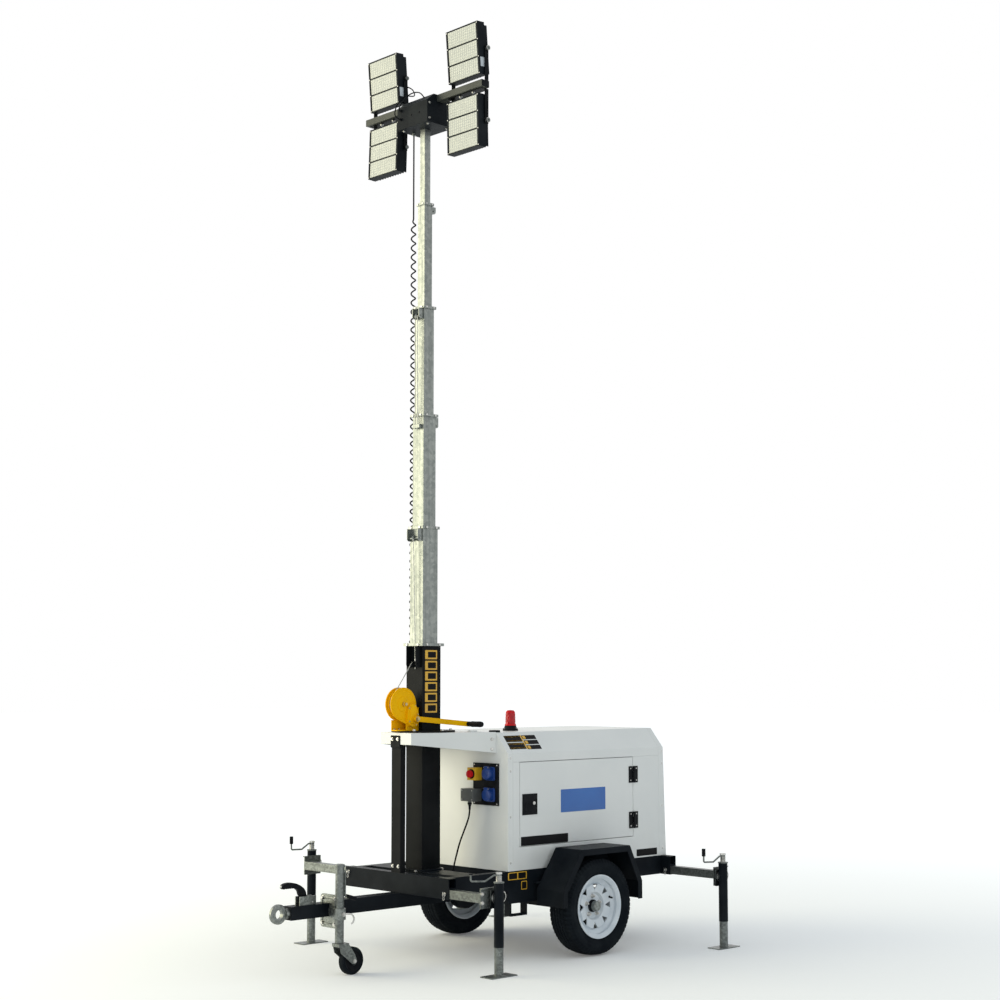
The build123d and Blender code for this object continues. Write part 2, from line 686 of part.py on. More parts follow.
cheek_in = jockey_wheel_w / 2 + 2
cheek_out = cheek_in + 4
with BuildPart() as jockey_fork:
    rod((jockey_x, jockey_y, jockey_z0 - 12), (jockey_x, jockey_y, jockey_z0 + 66), fork_pin_r - fit)
    block(jockey_x - 26, jockey_x + 44, jockey_y - cheek_out, jockey_y + cheek_out,
          jockey_z0 - 20, jockey_z0 - 2)
    for side, s in SIDES:
        low_y, high_y = sorted((jockey_y + s * cheek_in, jockey_y + s * cheek_out))
        with BuildSketch(Plane.XZ.offset(-low_y)):
            with BuildLine():
                Polyline((jockey_x - 24, jockey_z0 - 2), (jockey_x + 40, jockey_z0 - 2),
                         (jockey_wheel_x + 4, jockey_wheel_r + 34), (jockey_wheel_x + 18, jockey_wheel_r),
                         (jockey_wheel_x + 6, jockey_wheel_r - 18), (jockey_wheel_x - 14, jockey_wheel_r - 14),
                         (jockey_x - 10, jockey_z0 - 54), close=True)
            make_face()
            fillet(vertices().sort_by(Axis.X)[-3:], radius=6)
        extrude(amount=low_y - high_y)
    rod((jockey_wheel_x, jockey_y - cheek_out - 4, jockey_wheel_r),
        (jockey_wheel_x, jockey_y + cheek_out + 4, jockey_wheel_r), jockey_axle_r)
save(jockey_fork, "jockey_fork")

with BuildPart() as jockey_wheel:
    with BuildSketch(Plane((jockey_wheel_x, jockey_y, jockey_wheel_r))):
        with BuildLine():
            Polyline((jockey_axle_r + fit, -25), (22, -25), (28, -16), (50, -16), (56, -22), (68, -22),
                     (jockey_wheel_r, -14), (jockey_wheel_r, 14), (68, 22), (56, 22), (50, 16),
                     (28, 16), (22, 25), (jockey_axle_r + fit, 25), close=True)
        make_face()
    revolve(axis=Axis((jockey_wheel_x, jockey_y, jockey_wheel_r), (0, 1, 0)))
save(jockey_wheel, "jockey_wheel")

# Mast foot: a plate on the chassis with the spigot that the mast turns on
spigot_r = 45.0
spigot_h = 60.0
turn_gap = 1.0
foot_top = deck_z + foot_t
with BuildPart() as mast_foot:
    block(mast_x - foot_size / 2, mast_x + foot_size / 2, -foot_size / 2, foot_size / 2, deck_z, foot_top)
    rod((mast_x, 0, foot_top), (mast_x, 0, foot_top + spigot_h), spigot_r)
save(mast_foot, "mast_foot")

# Rope sheaves: the winch rope runs over one under each collar, at the front and rear in turn
cheek_t = 4.0
sheave_t = 12.0
BRACKETS = ((-1, 72.0, 34.0), (1, 62.0, 28.0), (-1, 62.0, 34.0), (1, 44.0, 36.0))
bracket_inset = 8.0
base_sheave_y = -13.0


def rope_sheave(face_x, direction, mid_y, half_span, top_z, drop, depth):
    """A bracket of two round-ended cheeks with a grooved wheel on a pin, welded to a mast face."""
    wheel_radius = min(drop, depth) / 2 - 1
    pin_z = top_z - drop + depth / 2
    pin_x = face_x + direction * depth / 2
    for end in (-1, 1):
        low_y, high_y = sorted((mid_y + end * half_span, mid_y + end * (half_span - cheek_t)))
        with BuildSketch(Plane.XZ.offset(-low_y)) as cheek:
            with Locations((pin_x, pin_z)):
                Circle(depth / 2)
            near_x, far_x = sorted((face_x, face_x + direction * depth))
            with Locations(((near_x + far_x) / 2, (pin_z + top_z) / 2)):
                Rectangle(far_x - near_x, top_z - pin_z)
            with Locations((face_x + direction * depth / 4, pin_z - depth / 4)):
                Rectangle(depth / 2, depth / 2)
        extrude(cheek.sketch, amount=low_y - high_y)
    rod((pin_x, mid_y - half_span - 5, pin_z), (pin_x, mid_y + half_span + 5, pin_z), 5)
    with BuildSketch(Plane((pin_x, mid_y, pin_z))) as groove:
        with BuildLine():
            Polyline((0, -sheave_t / 2), (wheel_radius, -sheave_t / 2), (wheel_radius - 5, 0),
                     (wheel_radius, sheave_t / 2), (0, sheave_t / 2), close=True)
        make_face()
    revolve(groove.sketch, axis=Axis((pin_x, 0, pin_z), (0, 1, 0)))


# Mast base tube with its turntable disc, top collar and the bracket that holds the cord
base_in = base_size / 2 - base_wall
plug_top = foot_top + spigot_h - 10
cord_z0 = 1700.0
with BuildPart() as mast_base:
    block(mast_x - base_size / 2, mast_x + base_size / 2, -base_size / 2, base_size / 2,
          foot_top + turn_gap, base_top)
    rod((mast_x, 0, bridge_z + turn_gap), (mast_x, 0, bridge_z + table_t), table_r)
    block(mast_x - base_collar / 2, mast_x + base_collar / 2, -base_collar / 2, base_collar / 2,
          base_top - collar_t, base_top)
    block(mast_x - 20, mast_x + 20, base_size / 2 - 1, coil_y + 20, cord_z0 - 20, cord_z0)
    block(mast_x - base_in, mast_x + base_in, -base_in, base_in, plug_top, base_top - collar_t,
          mode=Mode.SUBTRACT)
    hole = SECTIONS[0][0] / 2 + slide_fit
    block(mast_x - hole, mast_x + hole, -hole, hole, base_top - collar_t - 1, base_top + 1,
          mode=Mode.SUBTRACT)
    rod((mast_x, 0, foot_top), (mast_x, 0, plug_top + 1), spigot_r + fit, mode=Mode.SUBTRACT)
    rope_sheave(mast_x - base_size / 2, -1, base_sheave_y, 43, base_top - collar_t, 124, 38)
save(mast_base, "mast_base")

# Telescopic sections, each with a collar that guides the next
for index, (outer, wall, collar) in enumerate(SECTIONS):
    top = COLLAR_Z[index] if collar else head_z
    half = outer / 2
    inner = half - wall
    with BuildPart() as mast_section:
        block(mast_x - half, mast_x + half, -half, half, top - section_len, top)
        if collar:
            block(mast_x - collar / 2, mast_x + collar / 2, -collar / 2, collar / 2, top - collar_t, top)
            hole = SECTIONS[index + 1][0] / 2 + slide_fit
            block(mast_x - inner, mast_x + inner, -inner, inner, top - section_len - 1, top - collar_t,
                  mode=Mode.SUBTRACT)
            block(mast_x - hole, mast_x + hole, -hole, hole, top - collar_t - 1, top + 1,
                  mode=Mode.SUBTRACT)
            direction, drop, depth = BRACKETS[index]
            rope_sheave(mast_x + direction * half, direction, 0, half - bracket_inset, top - collar_t, drop, depth)
        else:
            block(mast_x - inner, mast_x + inner, -inner, inner, top - section_len - 1, top + 1,
                  mode=Mode.SUBTRACT)
    save(mast_section, f"mast_section_{index + 1}")

# Winch on the front of the mast: frame, drum and crank
winch_x = axle_x - 984.0
winch_z = 1450.0
winch_r = 95.0
winch_y0 = -38.0
winch_y1 = 12.0
winch_plate = 5.0
lobe_r = 45.0
cover_rise = 16.0
crank_x = axle_x - 920.0
crank_z = 1366.0
crank_r = 11.0
drum_shaft_r = 12.0
mast_front = mast_x - base_size / 2
table_top = bridge_z + table_t
with BuildPart() as winch_frame:
    for y in (winch_y0, winch_y1 - winch_plate):
        with BuildSketch(Plane.XZ.offset(-y)):
            with Locations((winch_x, winch_z)):
                Circle(winch_r)
            with Locations((crank_x, crank_z)):
                Circle(lobe_r)
            make_hull()
            with Locations((crank_x, (table_top + crank_z) / 2)):
                Rectangle(2 * lobe_r - 6, crank_z - table_top)
        extrude(amount=-winch_plate)
    with BuildSketch(Plane.XZ.offset(-winch_y0)):
        with Locations((crank_x, crank_z)):
            Circle(lobe_r)
        with Locations((crank_x - 8, crank_z + 52)):
            Circle(lobe_r - 10)
        make_hull()
    extrude(amount=cover_rise)
    block(winch_x - 50, mast_front, winch_y1 - winch_plate, winch_y1, table_top, crank_z - 6)
    block(winch_x - 50, mast_front, winch_y0, winch_y1, table_top, table_top + 6)
    block(mast_front - 6, mast_front, winch_y0, winch_y1, table_top, winch_z - 20)
    rod((winch_x, winch_y0 - 20, winch_z), (winch_x, winch_y1 + 8, winch_z), drum_shaft_r)
    rod((crank_x, winch_y0 - cover_rise - 1, crank_z), (crank_x, winch_y0 + winch_plate + 1, crank_z),
        crank_r + fit, mode=Mode.SUBTRACT)
save(winch_frame, "winch_frame")

drum_y0 = winch_y0 + winch_plate + 5
drum_y1 = winch_y1 - winch_plate - 5
drum_flange_r = 84.0
drum_core_r = 58.0
with BuildPart() as winch_drum:
    rod((winch_x, drum_y0, winch_z), (winch_x, drum_y1, winch_z), drum_core_r)
    rod((winch_x, drum_y0, winch_z), (winch_x, drum_y0 + 4, winch_z), drum_flange_r)
    rod((winch_x, drum_y1 - 4, winch_z), (winch_x, drum_y1, winch_z), drum_flange_r)
    rod((winch_x, drum_y0 - 1, winch_z), (winch_x, drum_y1 + 1, winch_z), drum_shaft_r + fit,
        mode=Mode.SUBTRACT)
save(winch_drum, "winch_drum")

grip_x = axle_x - 525.0
grip_z = 1330.0
arm_y = -89.0
arm_t = 8.0
arm_span = math.hypot(grip_x - crank_x, grip_z - crank_z)
arm_plane = Plane((crank_x, arm_y + arm_t, crank_z), x_dir=(grip_x - crank_x, 0, grip_z - crank_z),
                  z_dir=(0, -1, 0))
with BuildPart() as winch_crank:
    rod((crank_x, winch_y0 + winch_plate + 4, crank_z), (crank_x, arm_y, crank_z), crank_r)
    with BuildSketch(arm_plane):
        with Locations((arm_span / 2, 0)):
            SlotCenterToCenter(arm_span, 30)
    extrude(amount=arm_t)
    rod((grip_x, arm_y, grip_z), (grip_x, -205, grip_z), 15)
save(winch_crank, "winch_crank")

# Head box on top of the mast, with the gland for the mast cord under it
head_x0 = mast_x - head_len / 2
head_x1 = mast_x + head_len / 2
head_slope = 52.0
with BuildPart() as head_box:
    with BuildSketch(Plane.XZ.offset(head_w / 2)):
        with BuildLine():
            Polyline((head_x0, head_z), (head_x0, head_z + head_h), (head_x0 + head_slope, head_z + head_ridge),
                     (head_x1 - head_slope, head_z + head_ridge), (head_x1, head_z + head_h),
                     (head_x1, head_z), close=True)
        make_face()
    extrude(amount=-head_w)
    rod((mast_x, coil_y, head_z - 12), (mast_x, coil_y, head_z), 11)
save(head_box, "head_box")

# Crossbars either side of the head
bar_top = head_z + bar_rise
with BuildPart() as lamp_bars:
    for side, s in SIDES:
        low_y, high_y = sorted((s * head_w / 2, s * bar_end))
        block(mast_x - bar_d / 2, mast_x + bar_d / 2, low_y, high_y, bar_top - bar_h, bar_top)
save(lamp_bars, "lamp_bars")

# Yokes over and under the bars, and the lamps that tilt in them
pivot_x = mast_x + lamp_pivot_off
pivot_r = 8.0
PIVOT_RISE = {1: 202.0, -1: 188.0}
arm_in = lamp_w / 2 + yoke_gap
arm_out = arm_in + yoke_t
with BuildPart() as lamp_yokes:
    for name, s, up, tilt in LAMPS:
        mid_y = s * lamp_mid_y
        bar_face = bar_top if up > 0 else bar_top - bar_h
        pivot_z = bar_face + up * PIVOT_RISE[up]
        low_z, high_z = sorted((bar_face, bar_face + up * yoke_t))
        block(mast_x - 14, pivot_x + yoke_w / 2, mid_y - arm_out, mid_y + arm_out, low_z, high_z)
        low_z, high_z = sorted((bar_face, pivot_z + up * 18))
        for end in (-1, 1):
            low_y, high_y = sorted((mid_y + end * arm_in, mid_y + end * arm_out))
            block(pivot_x - yoke_w / 2, pivot_x + yoke_w / 2, low_y, high_y, low_z, high_z)
        rod((pivot_x, mid_y - arm_out - 1, pivot_z), (pivot_x, mid_y + arm_out + 1, pivot_z), pivot_r + fit,
            mode=Mode.SUBTRACT)
save(lamp_yokes, "lamp_yokes")

lens_count = 3
lens_w = 246.0
lens_h = 98.0
lens_depth = 4.0
fins = 11
fin_t = 5.0
fin_plate = 8.0
lens_pitch = lamp_h / lens_count - 2
front_reach = lamp_pivot_off + 28.0
for name, s, up, tilt in LAMPS:
    bar_face = bar_top if up > 0 else bar_top - bar_h
    mid_y = s * lamp_mid_y
    pivot = (pivot_x, mid_y, bar_face + up * PIVOT_RISE[up])
    facing = (-math.cos(math.radians(tilt)), 0, -math.sin(math.radians(tilt)))
    lamp_plane = Plane(pivot, x_dir=(0, -1, 0), z_dir=facing)
    with BuildPart() as lamp:
        with BuildSketch(lamp_plane.offset(front_reach)):
            Rectangle(lamp_w, lamp_h)
        extrude(amount=-lamp_front)
        with BuildSketch(lamp_plane.offset(front_reach - lamp_front)):
            Rectangle(lamp_w - 24, lamp_h - 24)
        extrude(amount=-fin_plate)
        with BuildSketch(lamp_plane.offset(front_reach - lamp_front - fin_plate)):
            with GridLocations((lamp_w - 24 - fin_t) / (fins - 1), 0, fins, 1):
                Rectangle(fin_t, lamp_h - 24)
        extrude(amount=fin_plate - lamp_rear)
        with BuildSketch(lamp_plane.offset(front_reach)):
            with GridLocations(0, lens_pitch, 1, lens_count):
                Rectangle(lens_w, lens_h)
        extrude(amount=-lens_depth, mode=Mode.SUBTRACT)
        rod((pivot_x, mid_y - arm_out - 3, pivot[2]), (pivot_x, mid_y + arm_out + 3, pivot[2]), pivot_r)
        rod((pivot_x, mid_y + s * (arm_out + 2), pivot[2]), (pivot_x, mid_y + s * (arm_out + 15), pivot[2]), 15)
    save(lamp, f"lamp_{name}")

# Outriggers: sliding arm, end plate and boss, jack with its leg, pad and crank
boss_r = 24.0
for name, s, beam, level, jack_y, swing, knob in OUTRIGGERS:
    beam_mid = (front_x if beam == "front" else rear_x) + tube / 2
    inboard = 1 if beam == "front" else -1
    jack_x = beam_mid + inboard * jack_off
    pivot_z = sleeve_z + tube * (level + 0.5)
    plate_in = jack_y - jack_r - plate_gap - plate_t
    tube_top = pivot_z + jack_above
    tube_bottom = pivot_z - jack_below
    with BuildPart() as outrigger:
        low_y, high_y = sorted((s * plate_in, s * (plate_in - arm_len)))
        block(beam_mid - arm_size / 2, beam_mid + arm_size / 2, low_y, high_y,
              pivot_z - arm_size / 2, pivot_z + arm_size / 2)
        low_y, high_y = sorted((s * plate_in, s * (plate_in + plate_t)))
        low_x, high_x = sorted((beam_mid - inboard * arm_size / 2, jack_x + inboard * 28))
        block(low_x, high_x, low_y, high_y, pivot_z - plate_h / 2, pivot_z + plate_h / 2)
        rod((jack_x, s * (plate_in + plate_t), pivot_z), (jack_x, s * jack_y, pivot_z), boss_r)
        rod((jack_x, s * jack_y, tube_bottom), (jack_x, s * jack_y, tube_top), jack_r)
        rod((jack_x, s * jack_y, pad_t), (jack_x, s * jack_y, tube_bottom), leg_r)
        block(jack_x - pad_len / 2, jack_x + pad_len / 2, s * jack_y - pad_w / 2, s * jack_y + pad_w / 2,
              0, pad_t)
        low_y, high_y = sorted((s * (jack_y - jack_r - 7), s * (jack_y - jack_r + 4)))
        block(jack_x - 34, jack_x + 34, low_y, high_y, pivot_z - plate_h / 2, pivot_z + plate_h / 2 - 14)
        low_y, high_y = sorted((s * plate_in, s * (jack_y - jack_r - 7)))
        block(low_x, high_x, low_y, high_y, pivot_z + plate_h / 2 - 6, pivot_z + plate_h / 2)
        rod((jack_x, s * jack_y, tube_top - 6), (jack_x, s * jack_y, tube_top), jack_r + 3)
        rod((jack_x, s * jack_y, tube_top), (jack_x, s * jack_y, tube_top + 42), 15)
        reach_x = -math.cos(math.radians(swing))
        reach_y = -s * math.sin(math.radians(swing))
        with BuildLine() as wire:
            FilletPolyline(*[(jack_x + along * reach_x, s * jack_y + along * reach_y, tube_top + rise)
                             for along, rise in CRANK], radius=10)
        with BuildSketch(Plane(origin=wire.line @ 0, z_dir=wire.line % 0)):
            Circle(crank_wire_r)
        sweep()
        grip_at = (jack_x + crank_reach * reach_x, s * jack_y + crank_reach * reach_y)
        rod((*grip_at, tube_top + 44), (*grip_at, tube_top + knob), 11)
    save(outrigger, f"outrigger_{name}")

# Curly cord from the mast base to the head, in lengths that each stretch with one section
cord_r = 4.5
curl_top = 4346.0
cord_top = head_z - 12
CORD_Z = (cord_z0, 2375.0, 3050.0, 3725.0, 4400.0, cord_top)
for index, (low, high) in enumerate(zip(CORD_Z, CORD_Z[1:])):
    with BuildPart() as mast_cord:
        if low < curl_top:
            rod((mast_x, coil_y, low), (mast_x, coil_y, min(high, curl_top)), coil_r)
        if high > curl_top:
            rod((mast_x, coil_y, max(low, curl_top)), (mast_x, coil_y, high), cord_r)
    save(mast_cord, f"mast_cord_{index + 1}")
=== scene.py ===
# %% [markdown]
# A mobile light tower, dressed piece by piece. The rigid model comes in as a fixed frame, and this
# lesson adds what a camera sees: coatings, bolts, ropes, lenses, tread and cords. The frame has to
# be loaded first, because every new piece takes its place from it.

# %% Load the frame
import math

import bpy
import numpy as np
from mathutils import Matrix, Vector


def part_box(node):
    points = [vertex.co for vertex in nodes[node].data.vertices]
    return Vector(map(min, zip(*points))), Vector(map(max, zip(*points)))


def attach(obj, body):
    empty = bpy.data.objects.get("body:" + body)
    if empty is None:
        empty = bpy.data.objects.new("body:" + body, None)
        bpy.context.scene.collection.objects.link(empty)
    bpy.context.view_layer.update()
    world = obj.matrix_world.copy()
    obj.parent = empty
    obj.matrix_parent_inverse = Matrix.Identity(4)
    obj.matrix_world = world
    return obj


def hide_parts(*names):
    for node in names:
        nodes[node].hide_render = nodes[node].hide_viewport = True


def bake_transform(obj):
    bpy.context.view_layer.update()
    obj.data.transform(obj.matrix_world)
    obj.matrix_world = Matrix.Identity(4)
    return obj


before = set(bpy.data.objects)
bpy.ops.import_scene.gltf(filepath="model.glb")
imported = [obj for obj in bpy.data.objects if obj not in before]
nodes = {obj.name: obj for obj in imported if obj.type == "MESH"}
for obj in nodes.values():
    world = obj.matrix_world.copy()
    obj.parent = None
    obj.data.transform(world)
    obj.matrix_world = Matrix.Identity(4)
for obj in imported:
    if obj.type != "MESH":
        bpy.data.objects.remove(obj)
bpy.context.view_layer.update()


# %% [markdown]
# The stations of the trailer are distances along X from the axle, as they are in the rigid model.
# Naming them once keeps every later piece in the same place as the part that carries it.

# %% Stations and sizes
AXLE = 0.5135
MAST = AXLE - 0.799
CANOPY_FRONT = AXLE - 0.520
HALF_W = 0.417
EAVE_Z = 1.167
ROOF_Z = 1.285
DECK_Z = 0.500
SLEEVE_Z = 0.388
WHEEL_R = 0.280
WHEEL_Y = 0.571
BRIDGE_Z = ROOF_Z + 0.003
BASE_TOP = 1.800
BASE_HALF = 0.070
COLLAR_Z = [BASE_TOP + 0.682 * (k + 1) - 0.0185 * k * (k + 1) / 2 for k in range(4)]
HEAD_Z = COLLAR_Z[-1] + 0.452
BAR_TOP = HEAD_Z + 0.175
BAR_H = 0.040
LAMP_Y = 0.359
SIDES = (("left", -1), ("right", 1))
print("mast at", MAST, "head at", HEAD_Z)

# %% [markdown]
# The camera stands in front of the near corner of the trailer at eye height and looks slightly up,
# so the mast keeps its straight edges. Its place, turn and lens were worked out from the corners
# of the canopy, mast and jacks. The small shift is the framing of the picture.

# %% Camera
CAMERA_AT = (AXLE - 7.510139, -7.612279, 1.616391)
CAMERA_YAW = math.radians(46.479)
CAMERA_PITCH = math.radians(5.294)
LENS_PER_WIDTH = 1.735193
SENSOR = 36.0


def placed(name, data):
    """A new object of that data, in the scene."""
    obj = bpy.data.objects.new(name, data)
    bpy.context.scene.collection.objects.link(obj)
    return obj


camera_data = bpy.data.cameras.new("camera")
camera_data.sensor_width = SENSOR
camera_data.lens = LENS_PER_WIDTH * SENSOR
camera_data.shift_x = 0.011961
camera_data.shift_y = 0.014248
camera = placed("camera", camera_data)
look = Vector((
    math.cos(CAMERA_YAW) * math.cos(CAMERA_PITCH),
    math.sin(CAMERA_YAW) * math.cos(CAMERA_PITCH),
    math.sin(CAMERA_PITCH),
))
camera.rotation_euler = look.to_track_quat("-Z", "Y").to_euler()
camera.location = CAMERA_AT
bpy.context.scene.camera = camera
bpy.context.scene.view_settings.view_transform = "Standard"
print("camera lens", round(camera_data.lens, 2))

# %% [markdown]
# A material is a small network of nodes. All the coatings here share three habits: colour drifts a
# little over the surface, roughness drifts with it, and a fine bump breaks up the reflections.
# A helper builds that network, so that each finish is only a few numbers.

# %% Helper for finishes


def new_material(name):
    """A material that uses nodes, with its tree and its Principled shader."""
    material = bpy.data.materials.new(name)
    material.use_nodes = True
    return material, material.node_tree, material.node_tree.nodes["Principled BSDF"]


def between(tree, value, low, high, start=0.0, stop=1.0):
    """A number that runs from low to high while value runs from start to stop."""
    spread = tree.nodes.new("ShaderNodeMapRange")
    for field, number in (("From Min", start), ("From Max", stop), ("To Min", low), ("To Max", high)):
        spread.inputs[field].default_value = number
    tree.links.new(value, spread.inputs["Value"])
    return spread.outputs["Result"]


def object_place(tree):
    """The Object coordinates of the point that is shaded."""
    return tree.nodes.new("ShaderNodeTexCoord").outputs["Object"]


def joined(tree, operation, first, second):
    """Two numbers joined by a Math node of that operation."""
    node = tree.nodes.new("ShaderNodeMath")
    node.operation = operation
    tree.links.new(first, node.inputs[0])
    tree.links.new(second, node.inputs[1])
    return node.outputs["Value"]


def noise_mask(tree, scale, detail=3.0, stretch=(1, 1, 1), low=0.35, high=0.65):
    """A soft mask from 0 to 1: noise read at Object coordinates, each axis multiplied by stretch,
    then its middle range from low to high spread over the whole of 0 to 1."""
    mapping = tree.nodes.new("ShaderNodeMapping")
    noise = tree.nodes.new("ShaderNodeTexNoise")
    mapping.inputs["Scale"].default_value = stretch
    noise.inputs["Scale"].default_value = scale
    noise.inputs["Detail"].default_value = detail
    tree.links.new(object_place(tree), mapping.inputs["Vector"])
    tree.links.new(mapping.outputs["Vector"], noise.inputs["Vector"])
    return between(tree, noise.outputs["Fac"], 0.0, 1.0, low, high)


def mixed(tree, mask, first, second):
    """A colour that runs from first to second by the mask. Either may be a colour or a socket."""
    mix = tree.nodes.new("ShaderNodeMix")
    mix.data_type = "RGBA"
    tree.links.new(mask, mix.inputs["Factor"])
    for socket, value in ((mix.inputs["A"], first), (mix.inputs["B"], second)):
        if isinstance(value, tuple):
            socket.default_value = (*value, 1)
        else:
            tree.links.new(value, socket)
    return mix.outputs["Result"]


def add_bump(tree, shader, height, strength, depth):
    """A bump on the shader: height from 0 to 1 stands for depth metres, at that strength."""
    bump = tree.nodes.new("ShaderNodeBump")
    bump.inputs["Strength"].default_value = strength
    bump.inputs["Distance"].default_value = depth
    tree.links.new(height, bump.inputs["Height"])
    tree.links.new(bump.outputs["Normal"], shader.inputs["Normal"])


def finish(name, colour, drift, rough, grain, patch=2.5, metallic=0.0, depth=0.0003, coat=0.0,
           sheen=0.5):
    """A surface whose colour drifts from colour to drift over patches, whose roughness runs between
    the two values of rough, and whose bump is a noise of grain waves a metre, depth metres high.
    sheen is how strongly it mirrors its surroundings; 0.5 is a fresh gloss."""
    material, tree, shader = new_material(name)
    shader.inputs["Metallic"].default_value = metallic
    shader.inputs["Coat Weight"].default_value = coat
    shader.inputs["Specular IOR Level"].default_value = sheen
    wide = noise_mask(tree, patch)
    fine = noise_mask(tree, grain, detail=2.0, low=0.3, high=0.7)
    tree.links.new(mixed(tree, wide, colour, drift), shader.inputs["Base Color"])
    tree.links.new(between(tree, fine, *rough), shader.inputs["Roughness"])
    add_bump(tree, shader, fine, 0.5, depth)
    return material


def recoloured(material, mask, first=None, second=None):
    """Put a mix by mask between the finish's own colour and its shader. The colour given, first or
    second, shows where the mask is 0 or 1, and the finish's own colour at the other end."""
    tree = material.node_tree
    base = tree.nodes["Principled BSDF"].inputs["Base Color"]
    own = base.links[0].from_socket
    tree.links.new(mixed(tree, mask, first or own, second or own), base)


def add_dust(material, colour, low_z, high_z, most):
    """Dust over a finish: its share is most at low_z, falls to nothing at high_z, and is broken up
    by noise."""
    tree = material.node_tree
    split = tree.nodes.new("ShaderNodeSeparateXYZ")
    tree.links.new(object_place(tree), split.inputs["Vector"])
    share = between(tree, split.outputs["Z"], most, 0.0, low_z, high_z)
    spots = noise_mask(tree, 9.0, detail=5.0, low=0.3, high=0.75)
    recoloured(material, joined(tree, "MULTIPLY", share, spots), second=colour)


# %% [markdown]
# The canopy and bridge are powder coated sheet. Powder leaves a slight orange peel that you only
# notice where light grazes it, and road dust gathers near the bottom edge.

# %% Painted finishes
white_coat = finish("white_coat", (0.78, 0.785, 0.77), (0.73, 0.74, 0.73), (0.30, 0.42), 260, coat=0.1)
add_dust(white_coat, (0.55, 0.53, 0.47), 0.48, 0.85, 0.18)
rim_white = finish("rim_white", (0.72, 0.76, 0.80), (0.60, 0.65, 0.70), (0.28, 0.45), 300, patch=14)
black_coat = finish("black_coat", (0.004, 0.006, 0.009), (0.010, 0.013, 0.017), (0.30, 0.48), 320, patch=5,
                    sheen=0.05)
add_dust(black_coat, (0.10, 0.10, 0.09), 0.10, 0.60, 0.08)
mast_black = finish("mast_black", (0.004, 0.005, 0.006), (0.010, 0.011, 0.012), (0.34, 0.50), 300, patch=4,
                    sheen=0.05)
yellow_coat = finish("yellow_coat", (0.97, 0.52, 0.001), (0.92, 0.47, 0.001), (0.28, 0.42), 280, patch=9,
                     sheen=0.06)
lamp_black = finish("lamp_black", (0.006, 0.008, 0.011), (0.014, 0.017, 0.020), (0.42, 0.56), 500, patch=7,
                    sheen=0.05)
olive_coat = finish("olive_coat", (0.050, 0.054, 0.047), (0.070, 0.074, 0.064), (0.40, 0.55), 420, patch=7,
                    sheen=0.2)
print("paints made")

# %% [markdown]
# Hot dipped zinc is never one grey. Its crystals make small patches of different brightness, tubes
# keep faint drawing lines along their length, and rain leaves dull streaks. A Voronoi pattern gives
# the crystals, and noise that is squeezed along Z gives the lines.

# %% Zinc finish


def zinc_finish(name, dark, light, crystals, rough, stretch):
    """Zinc: crystal patches of crystals a metre shade between dark and light, and long streaks from
    squeezed noise darken them. Roughness follows the same two patterns."""
    material, tree, shader = new_material(name)
    shader.inputs["Metallic"].default_value = 0.82
    cells = tree.nodes.new("ShaderNodeTexVoronoi")
    cells.inputs["Scale"].default_value = crystals
    tree.links.new(object_place(tree), cells.inputs["Vector"])
    shade = tree.nodes.new("ShaderNodeSeparateColor")
    tree.links.new(cells.outputs["Color"], shade.inputs["Color"])
    crystal = mixed(tree, shade.outputs["Red"], dark, light)
    streak = noise_mask(tree, 60, detail=4.0, stretch=stretch, low=0.42, high=0.72)
    stained = mixed(tree, between(tree, streak, 0.0, 0.45), crystal, tuple(0.62 * c for c in dark))
    tree.links.new(stained, shader.inputs["Base Color"])
    tree.links.new(between(tree, streak, *rough), shader.inputs["Roughness"])
    add_bump(tree, shader, streak, 0.35, 0.0002)
    return material


mast_zinc = zinc_finish("mast_zinc", (0.21, 0.23, 0.22), (0.31, 0.33, 0.31), 55, (0.30, 0.46), (1, 1, 0.03))
arm_zinc = zinc_finish("arm_zinc", (0.12, 0.132, 0.128), (0.23, 0.25, 0.24), 90, (0.34, 0.52), (1, 0.06, 1))
cast_zinc = zinc_finish("cast_zinc", (0.16, 0.175, 0.165), (0.29, 0.31, 0.295), 120, (0.28, 0.48), (1, 1, 1))
bright_steel = finish("bright_steel", (0.62, 0.62, 0.60), (0.50, 0.50, 0.48), (0.20, 0.38), 700, patch=40,
                      metallic=1.0, depth=0.0001)
brass = finish("brass", (0.50, 0.40, 0.20), (0.40, 0.33, 0.18), (0.28, 0.42), 700, patch=40, metallic=0.9,
               depth=0.0001)
rope_steel = finish("rope_steel", (0.42, 0.43, 0.42), (0.30, 0.31, 0.30), (0.32, 0.50), 900, patch=60,
                    metallic=0.9, depth=0.0002)
print("metals made")

# %% [markdown]
# Rubber and moulded plastic hardly shine. Rubber is broken up by a coarse grain, and plastic has
# the fine grain that its mould leaves.

# %% Rubber and plastic finishes
tyre_rubber = finish("tyre_rubber", (0.005, 0.007, 0.010), (0.011, 0.014, 0.017), (0.62, 0.86), 220,
                     patch=12, depth=0.0005, sheen=0.05)
cord_rubber = finish("cord_rubber", (0.004, 0.005, 0.006), (0.009, 0.010, 0.012), (0.42, 0.60), 500,
                     patch=20, sheen=0.06)
black_plastic = finish("black_plastic", (0.005, 0.006, 0.008), (0.011, 0.012, 0.014), (0.38, 0.55), 900,
                       patch=25, sheen=0.06)
grey_plastic = finish("grey_plastic", (0.080, 0.084, 0.080), (0.10, 0.105, 0.10), (0.40, 0.55), 800,
                      patch=25)
blue_plastic = finish("blue_plastic", (0.004, 0.035, 0.19), (0.006, 0.045, 0.23), (0.30, 0.42), 800,
                      patch=25)
amber_plastic = finish("amber_plastic", (0.78, 0.46, 0.02), (0.70, 0.40, 0.02), (0.32, 0.45), 700, patch=25)
